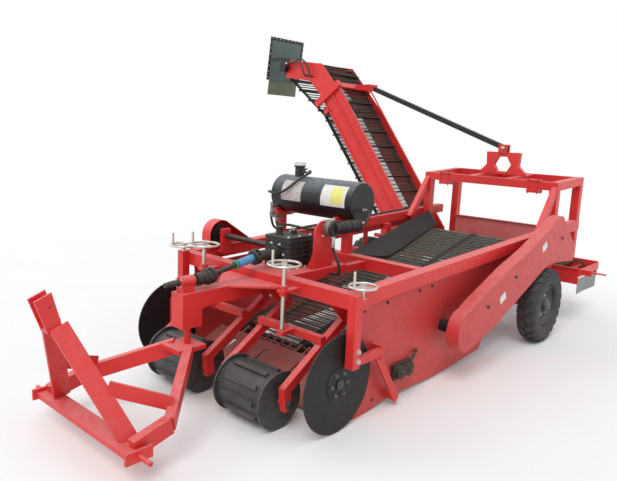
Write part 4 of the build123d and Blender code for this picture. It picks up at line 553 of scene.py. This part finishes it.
def modelled_tyre(side):
    """A round carcass with two rows of lugs, in place of one side's plain tyre."""
    node = "tyre_" + side
    low, high, centre = box_of(node)
    half = (high.y - low.y) / 2 * 1000
    bm = bmesh.new()
    profile = [(r, out * half) for r, out in TYRE_CARCASS]
    profile += [(r, -out * half) for r, out in reversed(TYRE_CARCASS[:-1])]
    turned(bm, profile, centre, LEFT, 96, ring=True)
    pitch = 2 * pi / LUG_COUNT
    for row, stagger in ((1, 0.0), (-1, 0.5)):
        for k in range(LUG_COUNT):
            start = pitch * (k + stagger)
            sections = []
            for step, (top, foot) in enumerate(zip(LUG_TOP, LUG_FOOT)):
                lean = start + pitch * LUG_LEAN * min(step, LEAN_ENDS) / LEAN_ENDS
                corners = []
                for (radius, out), spread, way in (
                        (foot, LUG_SPREAD, -1), (top, 1.0, -1),
                        (top, 1.0, 1), (foot, LUG_SPREAD, 1)):
                    turn = lean + way * pitch * LUG_SHARE * spread
                    spot = Vector((cos(turn) * radius, row * out * half, sin(turn) * radius))
                    corners.append(bm.verts.new(centre + spot / 1000))
                sections.append(corners)
            skin(bm, sections)
    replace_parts(stand("treaded_" + node, bm, tyre_rubber, "wheel_" + side), node)


for side, _ in SIDES:
    modelled_tyre(side)

# %% [markdown]
# ## Wheel nuts and hub caps
# The wheels are pressed steel discs held by five nuts, with a pressed cap over the bearing. The
# nuts sit on a circle about halfway out, where the disc is nearly flat, and the cap is one turned
# shape with a rolled edge.

# %% Nuts and caps on both wheels
DISC_FACE = 31.0          # the disc's and the hub's faces, outside the wheel's middle plane
HUB_FACE = 70.0
NUT_CIRCLE = 100.0
for side, way in SIDES:
    centre = box_of("rim_" + side)[2]
    bolted("wheel_nuts_" + side, bolt_circle(
        centre + LEFT * way * DISC_FACE / 1000, LEFT * way, NUT_CIRCLE, 5, 0.3), 24,
        "wheel_" + side)
    turned_piece("hub_cap_" + side, [(
        [(54, -2), (54, 4), (47, 7), (44, 18), (36, 22), (6, 23)],
        centre + LEFT * way * (HUB_FACE - 0.5) / 1000, LEFT * way, 40)],
        wheel_steel, "wheel_" + side)

# %% [markdown]
# ## Coulter discs and ridge rollers
# A coulter disc is bolted through its hub flange, with a nut on the stub axle in the middle. The
# roller arms carry flanged bearings: a turned housing on a plate. They stay on the arms while the
# rollers turn, so they ride on the arms' body, and the disc's bolts ride on the disc.

# %% Hub bolts on the discs, paler than the disc: partly bare steel, partly a painted glint
HUB_CIRCLE = 78.0
for side, way in SIDES:
    low, high, centre = box_of("coulter_disc_" + side)
    face = Vector((centre.x, high.y if way > 0 else low.y, centre.z))
    bolted("disc_bolts_" + side, bolt_circle(face, LEFT * way, HUB_CIRCLE, 6), 22,
           "coulter_" + side, roller_steel)

# %% Nuts on the discs' stub axles
STUB_X, STUB_Z = 2943, 340
for side, y, way in (("left", 931, LEFT), ("right", -911, -LEFT)):
    turned_piece("coulter_axle_nut_" + side, [
        ([(24, -7), (24, 3), (18, 6)], at(STUB_X, y, STUB_Z), way, 6),
        ([(34, -9), (34, -6), (30, -5)], at(STUB_X, y, STUB_Z), way, 28)],
        roller_steel, "chassis")

# %% Bearings on the roller arms, and the bolts that the arms swing on
ARM_FACE = 700.0          # outer face of the outer roller arm
PIVOT_X, PIVOT_Z = 2610, 670
PIVOT_OUTER, PIVOT_INNER = 718, 67
for side, way in SIDES:
    centre = box_of("ridge_roller_" + side)[2]
    foot = Vector((centre.x, MIDDLE_Y + way * ARM_FACE / 1000, centre.z))
    turned_piece("roller_bearing_" + side, [(
        [(31, -1), (31, 9), (24, 14), (24, 22), (15, 24)], foot, LEFT * way, 32)],
        primed_casting, "roller_frame_" + side)
    pivots = [(at(PIVOT_X, way * PIVOT_OUTER, PIVOT_Z), LEFT * way),
              (at(PIVOT_X, way * PIVOT_INNER, PIVOT_Z), LEFT * -way)]
    bolted("arm_pivot_bolts_" + side, pivots, 36, "chassis")

# %% [markdown]
# ## Gearbox, bearing housings and pump
# Castings are held down through feet and flanges, so their bolts follow the edge of each cover.
# Ribs round a gearbox stiffen it and shed its heat. The pump's plate is held up by two triangular
# gussets, which are cut from plate and welded to the deck.

# %% Bolts on the gearbox and the shaft bearing
GEARBOX_X, GEARBOX_TOP = 2500, 1150
SHAFT_Z = 1020            # height of the gearbox's input shaft
FLANGE_TURN = 0.78        # on a flange with four bolts they stand between level and upright
cover = [(at(GEARBOX_X + x, y, GEARBOX_TOP), UP) for x in (-122, 0, 122) for y in (-106, 106)]
feet = [(at(x, way * 150, 916), UP) for x in (2385, 2475, 2565, 2655) for way in (1, -1)]
nose = bolt_circle(at(2650, 0, SHAFT_Z), AHEAD, 84, 6)
bolted("gearbox_bolts", cover + nose, 17, "chassis")
bolted("gearbox_foot_bolts", feet, 22, "chassis")
bolted("shaft_bearing_bolts", bolt_circle(at(3535, 0, 925), AHEAD, 33, 4, FLANGE_TURN), 9,
       "chassis")

# %% Cooling ribs, the filler plug and the breather
RIB = ((-158, -110), (-130, -138), (130, -138), (158, -110),
       (158, 110), (130, 138), (-130, 138), (-158, 110))
RIB_LOW, RIB_PITCH, RIB_COUNT = 962, 38, 5
PLATE = 0.008             # thickness of ribs and gussets in metres
bm = bmesh.new()
for level in range(RIB_COUNT):
    cut_plate(bm, [at(GEARBOX_X + x, y, RIB_LOW + RIB_PITCH * level) for x, y in RIB], UP * PLATE)
stand("gearbox_ribs", bm, primed_casting, "chassis", rounding=1.0)
turned_piece("gearbox_filler_plug", [(
    [(15, -2), (15, 8), (22, 9), (22, 20), (17, 24)], at(2455, 0, 1180), UP, 6)],
    zinc_plate, "chassis")
turned_piece("gearbox_breather", [(
    [(30, -2), (30, 10), (25, 14), (25, 46), (30, 50), (30, 62), (22, 66)],
    at(2560, -50, GEARBOX_TOP), UP, 24)], primed_casting, "chassis")

# %% The pump's cover, bands and flange bolts, and its gussets
PUMP_X, PUMP_Z = 2345, 1225
MOTOR_Y = 310             # the pump's round body lies along the machine, this far left
turned_piece("pump_cover", [(
    [(64, -2), (66, 40), (60, 66), (40, 78), (12, 80)], at(PUMP_X, 250, PUMP_Z), LEFT, 48)],
    grey_casting, "chassis")
bands = [([(45, -7), (51, -7), (51, 7), (45, 7)], at(x, MOTOR_Y, PUMP_Z), AHEAD, 48, True)
         for x in (2284, 2232, 2160, 2090, 2050)]
port = ([(24, 0), (24, 20), (18, 22), (18, 40), (22, 42), (22, 54)],
        at(2025, MOTOR_Y, PUMP_Z), -AHEAD, 6)
turned_piece("pump_bands", bands + [port], primed_casting, "chassis")
bolted("pump_flange_bolts",
       bolt_circle(at(PUMP_X, 256, PUMP_Z), LEFT, 84, 4, FLANGE_TURN), 17, "chassis")
bm = bmesh.new()
for x in (2282, 2480):
    cut_plate(bm, [at(x, 244, 918), at(x, 172, 918), at(x, 244, 1030)], AHEAD * PLATE)
stand("pump_gussets", bm, red_enamel, "chassis", rounding=1.0)

# %% [markdown]
# ## The drive shaft's joints
# A universal joint is two forks at right angles with a cross between them. Only the bearing caps
# and the bells of the forks stand out of the shaft's thick ends, so short turned bars through each
# joint, one upright and one level, with a bell before and behind them, give the right outline. A
# green ring on the tube marks where the guard is locked.

# %% Bearing caps, bells and the guard's ring
joint_front, joint_rear = at(3295, 0, 937), at(2835, 0, SHAFT_Z)
tube_way = (joint_rear - joint_front).normalized()
CAP = [(13, -59), (17, -57), (17, 57), (13, 59)]
BELL = [(44, -30), (56, -26), (59, -14), (52, -10), (40, -10)]
shapes = []
for middle in (joint_front + tube_way * 0.004, joint_rear - tube_way * 0.022):
    shapes += [(CAP, middle, way, 20) for way in (LEFT, tube_way.cross(LEFT).normalized())]
    shapes += [(BELL, middle, tube_way, 36),
               ([(radius, -height) for radius, height in reversed(BELL)], middle, tube_way, 36)]
turned_piece("shaft_joint_caps", shapes, primed_casting, "chassis")
turned_piece("shaft_guard_ring", [(
    [(20, -9), (33, -9), (36, -5), (36, 5), (33, 9), (20, 9)],
    joint_rear - tube_way * 0.215, tube_way, 36, True)],
    green_plastic, "chassis")

# %% [markdown]
# ## Tank, filter and labels
# The tank is a rolled shell with pressed ends, so a thin weld bead runs round it near each end. Its
# labels are printed film, which follows the curve, and they are left blank. A flat plate would cut
# into the shell, so a label is a small grid of faces laid at the tank's radius plus a hair.

# %% Weld beads and the filter's cap
TANK_X, TANK_Z = 1863, 1381
TANK_RADIUS = 168.0
BEAD = [(TANK_RADIUS + out, height) for out, height in (
    (-1, -5), (1.3, -3.5), (2, 0), (1.3, 3.5), (-1, 5))]
turned_piece("tank_weld_beads", [(BEAD, at(TANK_X, y, TANK_Z), LEFT, 96, True)
                                 for y in (-676, 188)], black_enamel, "chassis")
turned_piece("filter_cap", [(
    [(50, 0), (54, 3), (54, 24), (48, 28), (12, 29)], at(TANK_X, -510, 1638), UP, 48)],
    bright_aluminium, "chassis")

# %% Labels that follow the tank
FILM = 0.4                # a label's thickness, drawn thicker than film so that its edge shows
LABEL_COLUMNS, LABEL_ROWS = 6, 12


def grid_faces(bm, columns):
    """Faces between columns of points that stand side by side."""
    for here, after in zip(columns, columns[1:]):
        for row in range(len(here) - 1):
            bm.faces.new((here[row], after[row], after[row + 1], here[row + 1]))


def wrapped_label(name, y_range, turn_range, finish, lift):
    """A film on the tank between two places along it and two angles above the level."""
    bm = bmesh.new()
    out = TANK_RADIUS + lift
    (y_low, y_high), (turn_low, turn_high) = y_range, turn_range
    columns = []
    for k in range(LABEL_COLUMNS + 1):
        y = y_low + (y_high - y_low) * k / LABEL_COLUMNS
        turns = [radians(turn_low + (turn_high - turn_low) * row / LABEL_ROWS)
                 for row in range(LABEL_ROWS + 1)]
        columns.append([bm.verts.new(at(TANK_X, 0, TANK_Z) + Vector(
            (out * cos(t), y, out * sin(t))) / 1000) for t in turns])
    grid_faces(bm, columns)
    bm.normal_update()
    bmesh.ops.solidify(bm, geom=bm.faces[:], thickness=FILM / 1000)
    stand(name, bm, finish, "chassis")


wrapped_label("tank_label_left", (-110, 150), (-14, 50), white_film, 0.9)
wrapped_label("tank_label_left_patch", (0, 120), (-7, 43), yellow_film, 1.6)
wrapped_label("tank_label_right", (-570, -335), (-14, 50), grey_film, 0.9)

# %% [markdown]
# ## Hose ends
# A hydraulic hose is pressed into a steel ferrule, which screws on through a hexagon nut. The hoses
# are whole in the CAD model, held between fixed points, so only their ends are added here, each a
# turned sleeve with a collar and a six-sided nut.

# %% A ferrule at each end
def ferrule(bm, foot, along, length, radius=14.0):
    """A hose's end, screwed in at its foot: a six-sided nut and a sleeve of a length in mm."""
    turned(bm, [(radius - 1, 16), (radius + 1, 18), (radius + 1, length - 5), (radius, length)],
           foot, along, 24)
    turned(bm, [(radius + 3, 0), (radius + 3, 14), (radius, 16)], foot, along, 6)


bm = bmesh.new()
for foot, along, length in (
        (at(TANK_X, -435, 1597), LEFT, 46), (at(1905, -743, 1290), UP, 52),
        (at(PUMP_X, MOTOR_Y, 1163), -UP, 84), (at(2021, MOTOR_Y, 1237), -AHEAD, 46),
        (at(2021, MOTOR_Y, 1211), -AHEAD, 34), (at(TANK_X, 212, 1321), LEFT, 46),
        (at(1905, -743, 1150), -UP, 46), (at(1885, -785, 1190), -LEFT, 40)):
    ferrule(bm, foot, along, length)
stand("hose_ferrules", bm, zinc_plate, "chassis")
bm = bmesh.new()
for x in (-770, -734):
    ferrule(bm, at(x, -3290, 2915), LEFT, 44, 15)
stand("head_hose_ferrules", bm, zinc_plate, "elevator")

# %% [markdown]
# ## The chain case and the side plates
# The case is folded sheet, closed by a few bolts, with two blank labels that lean with it. Labels
# on a flat side are thin plates with their corners cut, so they still show an edge in raking light.

# %% Case bolts and labels
CASE_FACE = 1110.0
CASE_LEAN = radians(26)
LABEL_WIDE, LABEL_TALL = 0.052, 0.034         # half sizes in metres
LABEL_CORNER, LABEL_THICK = 0.006, 0.0012     # in metres too
spots = [(at(x, CASE_FACE, z), LEFT) for x, z in ((1281, 591), (777, 768), (-260, 1010))]
bolted("case_bolts", spots, 22, "chassis", primed_casting)
slope = Vector((-cos(CASE_LEAN), 0, sin(CASE_LEAN)))
square = Vector((sin(CASE_LEAN), 0, cos(CASE_LEAN)))
bm = bmesh.new()
for x, z in ((1004, 618), (174, 968)):
    outline = []
    for u, v in ((1, 1), (-1, 1), (-1, -1), (1, -1)):
        cuts = [(LABEL_WIDE, LABEL_TALL - LABEL_CORNER), (LABEL_WIDE - LABEL_CORNER, LABEL_TALL)]
        outline += [at(x, CASE_FACE, z) + slope * u * wide + square * v * tall
                    for wide, tall in (cuts if u * v > 0 else cuts[::-1])]
    cut_plate(bm, outline, LEFT * LABEL_THICK)
stand("case_labels", bm, white_film, "chassis")

# %% Bolts along the side plates
PLATE_FACE = 865


def rail_low(x):
    """Height of the rails' underside in mm, which rises towards the rear."""
    return 816 + (2853 - x) * 0.0385


spots = [(at(x, way * PLATE_FACE, rail_low(x) - 58), LEFT * way)
         for x in (2650, 2380, 1960, 1780) for _, way in SIDES]
spots += [(at(x, PLATE_FACE, z), LEFT) for x, z in ((2640, 120), (2640, 380), (2500, 80))]
bolted("side_plate_bolts", spots, 17, "chassis", primed_casting)

# %% [markdown]
# ## Coulter shanks, shaker links and depth screws
# A shank slides in its holder, which is bolted on from the side by two bolts, one above the other,
# and a big nut locks it. The shaker links under the web have the same big nuts and short struts of
# round bar: a round bar is the same skin again, on circles that are kept square to its path.

# %% Bolts and nuts on the shanks
bolted("shank_bolts", [(at(2860, 990, z), LEFT) for z in (497, 562)], 26, "chassis")
bolted("shank_nuts", [(at(2809, 956, 900), UP), (at(2887, -826, 936), UP)], 30, "chassis")

# %% Big nuts and struts on the shaker links
def bent_bar(bm, points, radius, sides=12):
    """A round bar of a radius in mm through some points, with its ends cut square."""
    loops = []
    side = (points[1] - points[0]).orthogonal().normalized()
    for k, point in enumerate(points):
        before = point - points[k - 1] if k else points[1] - point
        ahead = points[k + 1] - point if k + 1 < len(points) else before
        way = (before.normalized() + ahead.normalized()).normalized()
        side = (side - way * side.dot(way)).normalized()
        loops.append(circle(bm, point, side, way.cross(side), radius, sides))
    skin(bm, loops)


bm = bmesh.new()
for _, way in SIDES:
    for x in (2110, 2220):
        bolt(bm, at(x, way * 926, 225), LEFT * way, 30)
    bent_bar(bm, [at(x, way * y, z) for x, y, z in (
        (2070, 900, 262), (2015, 890, 300), (1965, 880, 326))], 13)
stand("shaker_nuts", bm, soil_steel, "chassis")

# %% Nuts under the depth screws' wheels
for side, way in SIDES:
    turned_piece("depth_wheel_nut_" + side, [(
        [(24, 0), (24, 12), (20, 15)], at(2990, way * 427, 1073), UP, 6)],
        zinc_plate, "depth_screw_" + side)

# %% [markdown]
# ## Gantry, mast and stay
# The clamp blocks grip the front beam between a plate and a block, with four long bolts each. The
# stay has a row of holes for setting the elevator's height. The solid stay has none, so it is
# modelled again here, as a closed square tube with a row of bars cut out of it by a boolean.

# %% Clamp bolts and the heads of the mast's pin
CLAMP_TOP, CLAMP_LOW = 1526, 1384
PIN_X, PIN_Z = -1194, 1850
bm = bmesh.new()
for x in (-886.5, -787.5):
    for y in (-602, -498, 498, 602):
        turned(bm, [(4, CLAMP_LOW - CLAMP_TOP - 4), (4, 8)], at(x, y, CLAMP_TOP), UP, 12)
        bolt(bm, at(x, y, CLAMP_TOP), UP, 15)
        bolt(bm, at(x, y, CLAMP_LOW), -UP, 15)
stand("clamp_bolts", bm, red_enamel, "chassis")
bolted("mast_pin_heads", [(at(PIN_X + 60 * way, 0, PIN_Z), AHEAD * way) for way in (1, -1)], 30,
       "chassis")

# %% A drill
def drilled(solid, drills):
    """What is left of one bmesh when another is cut out of it."""
    blanks = []
    for shape in (solid, drills):
        bmesh.ops.recalc_face_normals(shape, faces=shape.faces)
        mesh = bpy.data.meshes.new("blank")
        shape.to_mesh(mesh)
        shape.free()
        blanks.append(bpy.data.objects.new("blank", mesh))
        bpy.context.collection.objects.link(blanks[-1])
    cut = blanks[0].modifiers.new("cut", "BOOLEAN")
    cut.object = blanks[1]
    cut.solver = "EXACT"
    result = blanks[0].evaluated_get(bpy.context.evaluated_depsgraph_get())
    left = bmesh.new()
    left.from_mesh(result.to_mesh())
    for blank in blanks:
        bpy.data.objects.remove(blank)
    print("drilled:", len(left.faces), "faces are left")
    return left


# %% The stay, drilled for its settings
STAY_HALF = 0.030         # half the square tube's width in metres
STAY_END = 0.045          # how far the tube goes past its eye, in metres
HOLE_COUNT = 8
FIRST_HOLE, HOLE_PITCH = 1.22, 0.077          # along the stay from its foot, in metres
stay_foot, stay_eye = at(PIN_X, 0, PIN_Z), at(PIN_X, -2020, 2580)
stay_way = (stay_eye - stay_foot).normalized()
tube_foot, tube_end = stay_foot + stay_way * STAY_HALF, stay_eye + stay_way * STAY_END
ahead, across = AHEAD * STAY_HALF, AHEAD.cross(stay_way).normalized() * STAY_HALF
tube, drills = bmesh.new(), bmesh.new()
cut_plate(tube, [tube_foot + ahead + across, tube_foot + ahead - across,
                 tube_foot - ahead - across, tube_foot - ahead + across], tube_end - tube_foot)
for k in range(HOLE_COUNT):
    turned(drills, [(9, -40), (9, 40)], stay_foot + stay_way * (FIRST_HOLE + HOLE_PITCH * k),
           AHEAD, 24)
tube = drilled(tube, drills)
turned(tube, [(34, -29.8), (34, 29.8)], stay_foot, AHEAD, 40)
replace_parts(stand("drilled_stay", tube, black_enamel, "stay"), "elevator_stay")
turned_piece("stay_eye_pin", [([(22, -44), (22, 44)], stay_eye, AHEAD, 28)],
             zinc_plate, "elevator")

# %% [markdown]
# ## Elevator
# The long panels are pressed sheet with ribs, joined at a bolted flange near the head. Each roller
# shaft ends in a flanged bearing on the outside of the rear panel. The same few numbers that place
# the rollers place the bearings: a distance along the incline, and a height above its middle.

# %% Places along the incline, and the bearings there
INCLINE = radians(126.9)
INCLINE_FOOT_Y, INCLINE_FOOT_Z = -926, 489
HEAD_TURN = 2853          # the web levels out this far along the incline
FRONT_PANEL, REAR_PANEL = -800, -1500


def on_incline(x, along, above):
    """A point of the elevator, along its incline from the foot and above the incline's middle."""
    y = INCLINE_FOOT_Y + along * cos(INCLINE) + above * sin(INCLINE)
    z = INCLINE_FOOT_Z + along * sin(INCLINE) - above * cos(INCLINE)
    return at(x, y, z)


turned_piece("elevator_bearing_housings", [(
    [(46, 0), (46, 7), (34, 12), (34, 20), (14, 22)], on_incline(REAR_PANEL, along, 0), -AHEAD, 32)
    for along in (620, 1420, 2120, HEAD_TURN)], primed_casting, "elevator")

# %% [markdown]
# ## Rods between the rods
# These webs have a rod every 20 to 40 mm, so that no potato falls through. The solid webs have far
# fewer, and each gap of a straight run gets one or two slim rods more here. A run goes from one
# roller's centre to the next, and its rods lie a roller's radius and half a belt off that line.

# %% More rods on the elevator's straight runs
SLIM_ROD = 5              # radius
ELEVATOR_OFF = 81         # from the rollers' line to the rods
RODS_FROM = -1475         # the rods' rear ends
ELEVATOR_ROD = 650        # their length


def more_rods(bm, start, end, off, rods, extra, length, across):
    """Extra slim rods in each gap of a run with some rods, off its line, laid across it."""
    out = (end - start).normalized().cross(across).normalized() * off / 1000
    for k in range(rods - 1):
        for step in range(1, extra + 1):
            share = (k + 0.5 + step / (extra + 1)) / rods
            turned(bm, [(SLIM_ROD, 0), (SLIM_ROD, length)],
                   start + (end - start) * share + out, across, 8)


foot_roller, turn_roller = (on_incline(RODS_FROM, along, 0) for along in (0, HEAD_TURN))
head_roller = at(RODS_FROM, -3330, 2850)
return_head, return_foot = on_incline(RODS_FROM, 2350, -215), on_incline(RODS_FROM, 420, -190)
bm = bmesh.new()
for start, end, rods in ((foot_roller, turn_roller, 47), (turn_roller, head_roller, 12),
                         (return_head, return_foot, 32)):
    more_rods(bm, start, end, ELEVATOR_OFF, rods, 2, ELEVATOR_ROD, AHEAD)
stand("elevator_slim_rods", bm, elevator_web_steel, "elevator")

# %% More rods on top of the main and the cross conveyor's webs
WEB_OFF = 76              # from these rollers' line to the rods
bm = bmesh.new()
more_rods(bm, at(2250, 735, 150), at(-600, 735, 775), WEB_OFF, 39, 1, 1470, -LEFT)
stand("main_slim_rods", bm, main_web_steel, "chassis")
bm = bmesh.new()
more_rods(bm, at(-1443, 925, 518), at(-1443, -660, 518), WEB_OFF, 22, 1, 568, AHEAD)
stand("cross_slim_rods", bm, cross_web_steel, "chassis")

# %% Flange bolts, rib bolts and the curtain's fixings
CURTAIN_LEAN = radians(7)
CURTAIN_FACE = 4          # from the curtain's middle to its screws' feet


def curtain_y(z):
    """How far left the leaning curtain's middle is at a height, in mm."""
    return -3700 + (z - 3015) * tan(CURTAIN_LEAN)


incline_way = (on_incline(0, 1000, 0) - on_incline(0, 0, 0)).normalized()
spots = []
for x, way in ((FRONT_PANEL, 1), (REAR_PANEL, -1)):
    spots += [(on_incline(x + way * 27, 2475, above), -incline_way) for above in (-260, -210, 186)]
    spots += [(on_incline(x + way * 12, along, -150), AHEAD * way) for along in (420, 2350)]
bolted("elevator_bolts", spots, 15, "elevator", primed_casting)
places = [(x, 3310) for x in range(-1480, -815, 82)]
places += [(x, z) for x in (-1492, -808) for z in range(2740, 3260, 85)]
bolted("curtain_bolts", [(at(x, curtain_y(z) + CURTAIN_FACE, z), LEFT) for x, z in places], 11,
       "elevator")

# %% [markdown]
# ## Sheets
# Coated cloth and sheet rubber hang from one edge. They are nearly flat, but never quite: a sheet
# pulls tight between its screws and bellies between them. A plain plate would look like steel, and
# a cloth simulation is more than such short, stiff sheets need, so each is a grid of faces moved by
# two slow waves, and is then given its thickness. The waves fade out towards the edge that a sheet
# is drawn from: the top of the hung ones, and the baffle's lower edge, just above the rods.

# %% A hung sheet
SHEET_COLUMNS, SHEET_ROWS = 48, 16


def hung_sheet(name, place, belly, waves, thick, finish, body, node, area=None,
               held_sides=True):
    """A sheet whose points are place(u, v), that bellies some mm out of flat but not at v = 0.

    With held_sides it doesn't belly at its two ends either.
    """
    bm = bmesh.new()
    normal = (place(1, 0) - place(0, 0)).cross(place(0, 1) - place(0, 0)).normalized()
    columns = []
    for u in (k / SHEET_COLUMNS for k in range(SHEET_COLUMNS + 1)):
        column = []
        for v in (k / SHEET_ROWS for k in range(SHEET_ROWS + 1)):
            loose = v * (sin(pi * u) if held_sides else 1.0)
            wave = sin(waves * pi * u + 0.7) * 0.6 + sin(2.3 * waves * u + 2.1 * v) * 0.4
            column.append(bm.verts.new(place(u, v) + normal * belly * loose * wave / 1000))
        columns.append(column)
    grid_faces(bm, columns)
    piece = stand(name, bm, finish, body)
    solid = piece.modifiers.new("thickness", "SOLIDIFY")
    solid.thickness = thick / 1000
    solid.offset = 0.0
    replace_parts(piece, node)


def hanging(start, width, top, drop, y_at):
    """The place of a level-topped sheet's points: u along its top, v down it, y by the height."""
    return lambda u, v: at(start + width * u, y_at(top - drop * v), top - drop * v)


# %% The curtain and its flap at the elevator's head
hung_sheet("head_curtain", hanging(-1472, 644, 3290, 590, curtain_y), 7.0, 3.0, 3.0,
           curtain_cloth, "elevator", "curtain")
hung_sheet("head_flap", hanging(-1460, 620, 2700, 215, curtain_y), 9.0, 2.0, 3.0,
           flap_cloth, "elevator", "discharge_flap",
           held_sides=False)

# %% The flap at the cross conveyor's end
hung_sheet("conveyor_tail_flap", hanging(-1462, 606, 503, 170, lambda z: 1120), 5.0, 2.0, 4.0,
           tail_cloth, "chassis", "tail_flap",
           held_sides=False)

# %% [markdown]
# ## The rubber baffle
# A long strip of sheet rubber keeps the crop on the main web. It is fixed along its top edge beside
# the web, and it leans in, so that its lower edge drags just above the rods. Its two edges and its
# lean are broken lines along the machine, and every point of the sheet is read from them.

# %% The long baffle beside the main web
BAFFLE_Y = -705
BAFFLE_FRONT, BAFFLE_REAR = 828, -740
BAFFLE_TOP = ((840, 680), (-740, 1050))
BAFFLE_LOW = ((840, 680), (430, 650), (-600, 865), (-740, 880))
BAFFLE_LEAN = ((840, 0), (600, 250), (230, 250), (-740, 135))


def level_on(line, x):
    """The value of a broken line, of (x, value) from front to rear, at a place in mm."""
    for (x0, z0), (x1, z1) in zip(line, line[1:]):
        if x1 <= x <= x0:
            return z0 + (z1 - z0) * (x0 - x) / (x0 - x1)
    return line[-1][1]


def on_baffle(u, v):
    """A point of the baffle: u from its front to its rear, v from its lower edge to its top."""
    x = BAFFLE_FRONT + (BAFFLE_REAR - BAFFLE_FRONT) * u
    top, low = level_on(BAFFLE_TOP, x), level_on(BAFFLE_LOW, x)
    return at(x, BAFFLE_Y + level_on(BAFFLE_LEAN, x) * (1 - v), low + (top - low) * v)


def strip_area(place, strips=48):
    """Area of a leaning sheet, in square metres, summed over narrow strips by their diagonals."""
    total = 0.0
    for k in range(strips):
        here, after = k / strips, (k + 1) / strips
        total += (place(after, 1) - place(here, 0)).cross(
            place(here, 1) - place(after, 0)).length / 2
    return total


hung_sheet("web_side_baffle", on_baffle, 6.0, 4.0, 7.0, sheet_rubber, "chassis",
           "rubber_baffle",
           area=strip_area(on_baffle))
print("the baffle's flat area is", round(strip_area(on_baffle), 3), "square metres")

# %% [markdown]
# ## Light, floor and camera
# The light is that of an overcast yard: a wide soft key from the front left and an even sky.
# Colours then render about as they are written. Area lamps would fall off along a machine of this
# length, so both lamps are suns. The floor is pale and fades into the white around the machine, by
# its own colour where the camera sees it, and it keeps the machine's shadow. The camera stands in
# front of the machine on its left, 1.9 m above the ground, and leans a little.

# %% The camera
HEADING = radians(221.693)    # which way it looks, counted from straight ahead over the left
PITCH = radians(-10.116)
ROLL = radians(-2.524)
camera_data = bpy.data.cameras.new("portrait")
camera_data.lens = 35.39
camera_data.sensor_width = 36.0
camera_data.clip_end = 200.0
camera = bpy.data.objects.new("portrait", camera_data)
bpy.context.collection.objects.link(camera)
look = Vector((cos(PITCH) * cos(HEADING), cos(PITCH) * sin(HEADING), sin(PITCH)))
turn = Matrix.Rotation(ROLL, 3, look) @ look.to_track_quat("-Z", "Y").to_matrix()
camera.matrix_world = Matrix.Translation(at(5860, 3191, 1935)) @ turn.to_4x4()
bpy.context.scene.camera = camera
print("camera", [round(c, 2) for c in camera.location])

# %% The lamps
def sun(name, strength, width, direction):
    """A far lamp whose disc is some degrees wide, that shines along a direction."""
    data = bpy.data.lights.new(name, "SUN")
    data.energy = strength
    data.angle = radians(width)
    lamp = bpy.data.objects.new(name, data)
    lamp.rotation_euler = Vector(direction).to_track_quat("-Z", "Y").to_euler()
    bpy.context.collection.objects.link(lamp)
    print("lamp:", name, "of strength", strength)


sun("key", 1.5, 34, (-0.62, -0.30, -0.9))
sun("fill", 0.55, 60, (-0.3, 0.9, -0.5))

# %% The sky
world = bpy.data.worlds.new("overcast")
bpy.context.scene.world = world
world.use_nodes = True
sky_tree = world.node_tree
sky_tree.nodes.clear()
rays = wire(sky_tree, "ShaderNodeLightPath")
seen = wire(sky_tree, "ShaderNodeMath", {
    0: rays.outputs["Is Camera Ray"], 1: rays.outputs["Is Glossy Ray"]}, operation="MAXIMUM")
seen = wire(sky_tree, "ShaderNodeMath", {
    0: seen.outputs[0], 1: rays.outputs["Is Transmission Ray"]}, operation="MAXIMUM")
soft_sky = wire(sky_tree, "ShaderNodeBackground", {"Color": linear("#E9EEF4"), "Strength": 0.8})
white = wire(sky_tree, "ShaderNodeBackground", {"Color": (1, 1, 1, 1), "Strength": 1.0})
mixed = wire(sky_tree, "ShaderNodeMixShader", {
    0: seen.outputs[0], 1: soft_sky.outputs[0], 2: white.outputs[0]})
wire(sky_tree, "ShaderNodeOutputWorld", {"Surface": mixed.outputs[0]})
print("sky:", world.name)

# %% The floor
FLOOR_RADIUS = 60.0
bm = bmesh.new()
bmesh.ops.create_circle(bm, cap_ends=True, segments=96, radius=FLOOR_RADIUS)
mesh = bpy.data.meshes.new("floor")
bm.to_mesh(mesh)
bm.free()
floor = bpy.data.objects.new("floor", mesh)
floor.location.z = cad_bounds[0][2] - 0.0005
bpy.context.collection.objects.link(floor)

# %% The floor's finish, which fades to white from 3 to 8 metres from the machine's middle
concrete = bpy.data.materials.new("pale_concrete")
concrete.use_nodes = True
tree = concrete.node_tree
tree.nodes.clear()
spot = wire(tree, "ShaderNodeTexCoord")
reach = wire(tree, "ShaderNodeVectorMath", {0: spot.outputs["Object"]}, operation="LENGTH")
far = wire(tree, "ShaderNodeMapRange", {
    "Value": reach.outputs["Value"], "From Min": 3.0, "From Max": 8.0},
    interpolation_type="SMOOTHSTEP")
paths = wire(tree, "ShaderNodeLightPath")
shown = wire(tree, "ShaderNodeMath", {
    0: far.outputs["Result"], 1: paths.outputs["Is Camera Ray"]}, operation="MULTIPLY")
cloudy = wire(tree, "ShaderNodeTexNoise", {
    "Vector": spot.outputs["Object"], "Scale": 1.2, "Detail": 4.0})
pale = wire(tree, "ShaderNodeMix", {
    0: cloudy.outputs["Fac"], 6: linear("#F4F4F2"), 7: linear("#EEEDEA")}, data_type="RGBA")
matt = wire(tree, "ShaderNodeBsdfPrincipled", {"Base Color": pale.outputs[2], "Roughness": 0.9})
glow = wire(tree, "ShaderNodeEmission", {"Color": (1, 1, 1, 1), "Strength": 1.0})
ground = wire(tree, "ShaderNodeMixShader", {
    0: shown.outputs[0], 1: matt.outputs[0], 2: glow.outputs[0]})
wire(tree, "ShaderNodeOutputMaterial", {"Surface": ground.outputs[0]})
mesh.materials.append(concrete)
print("floor of radius", FLOOR_RADIUS, "m in", concrete.name)

# %% Finish
bpy.context.scene.view_settings.view_transform = "Standard"
bpy.context.view_layer.update()
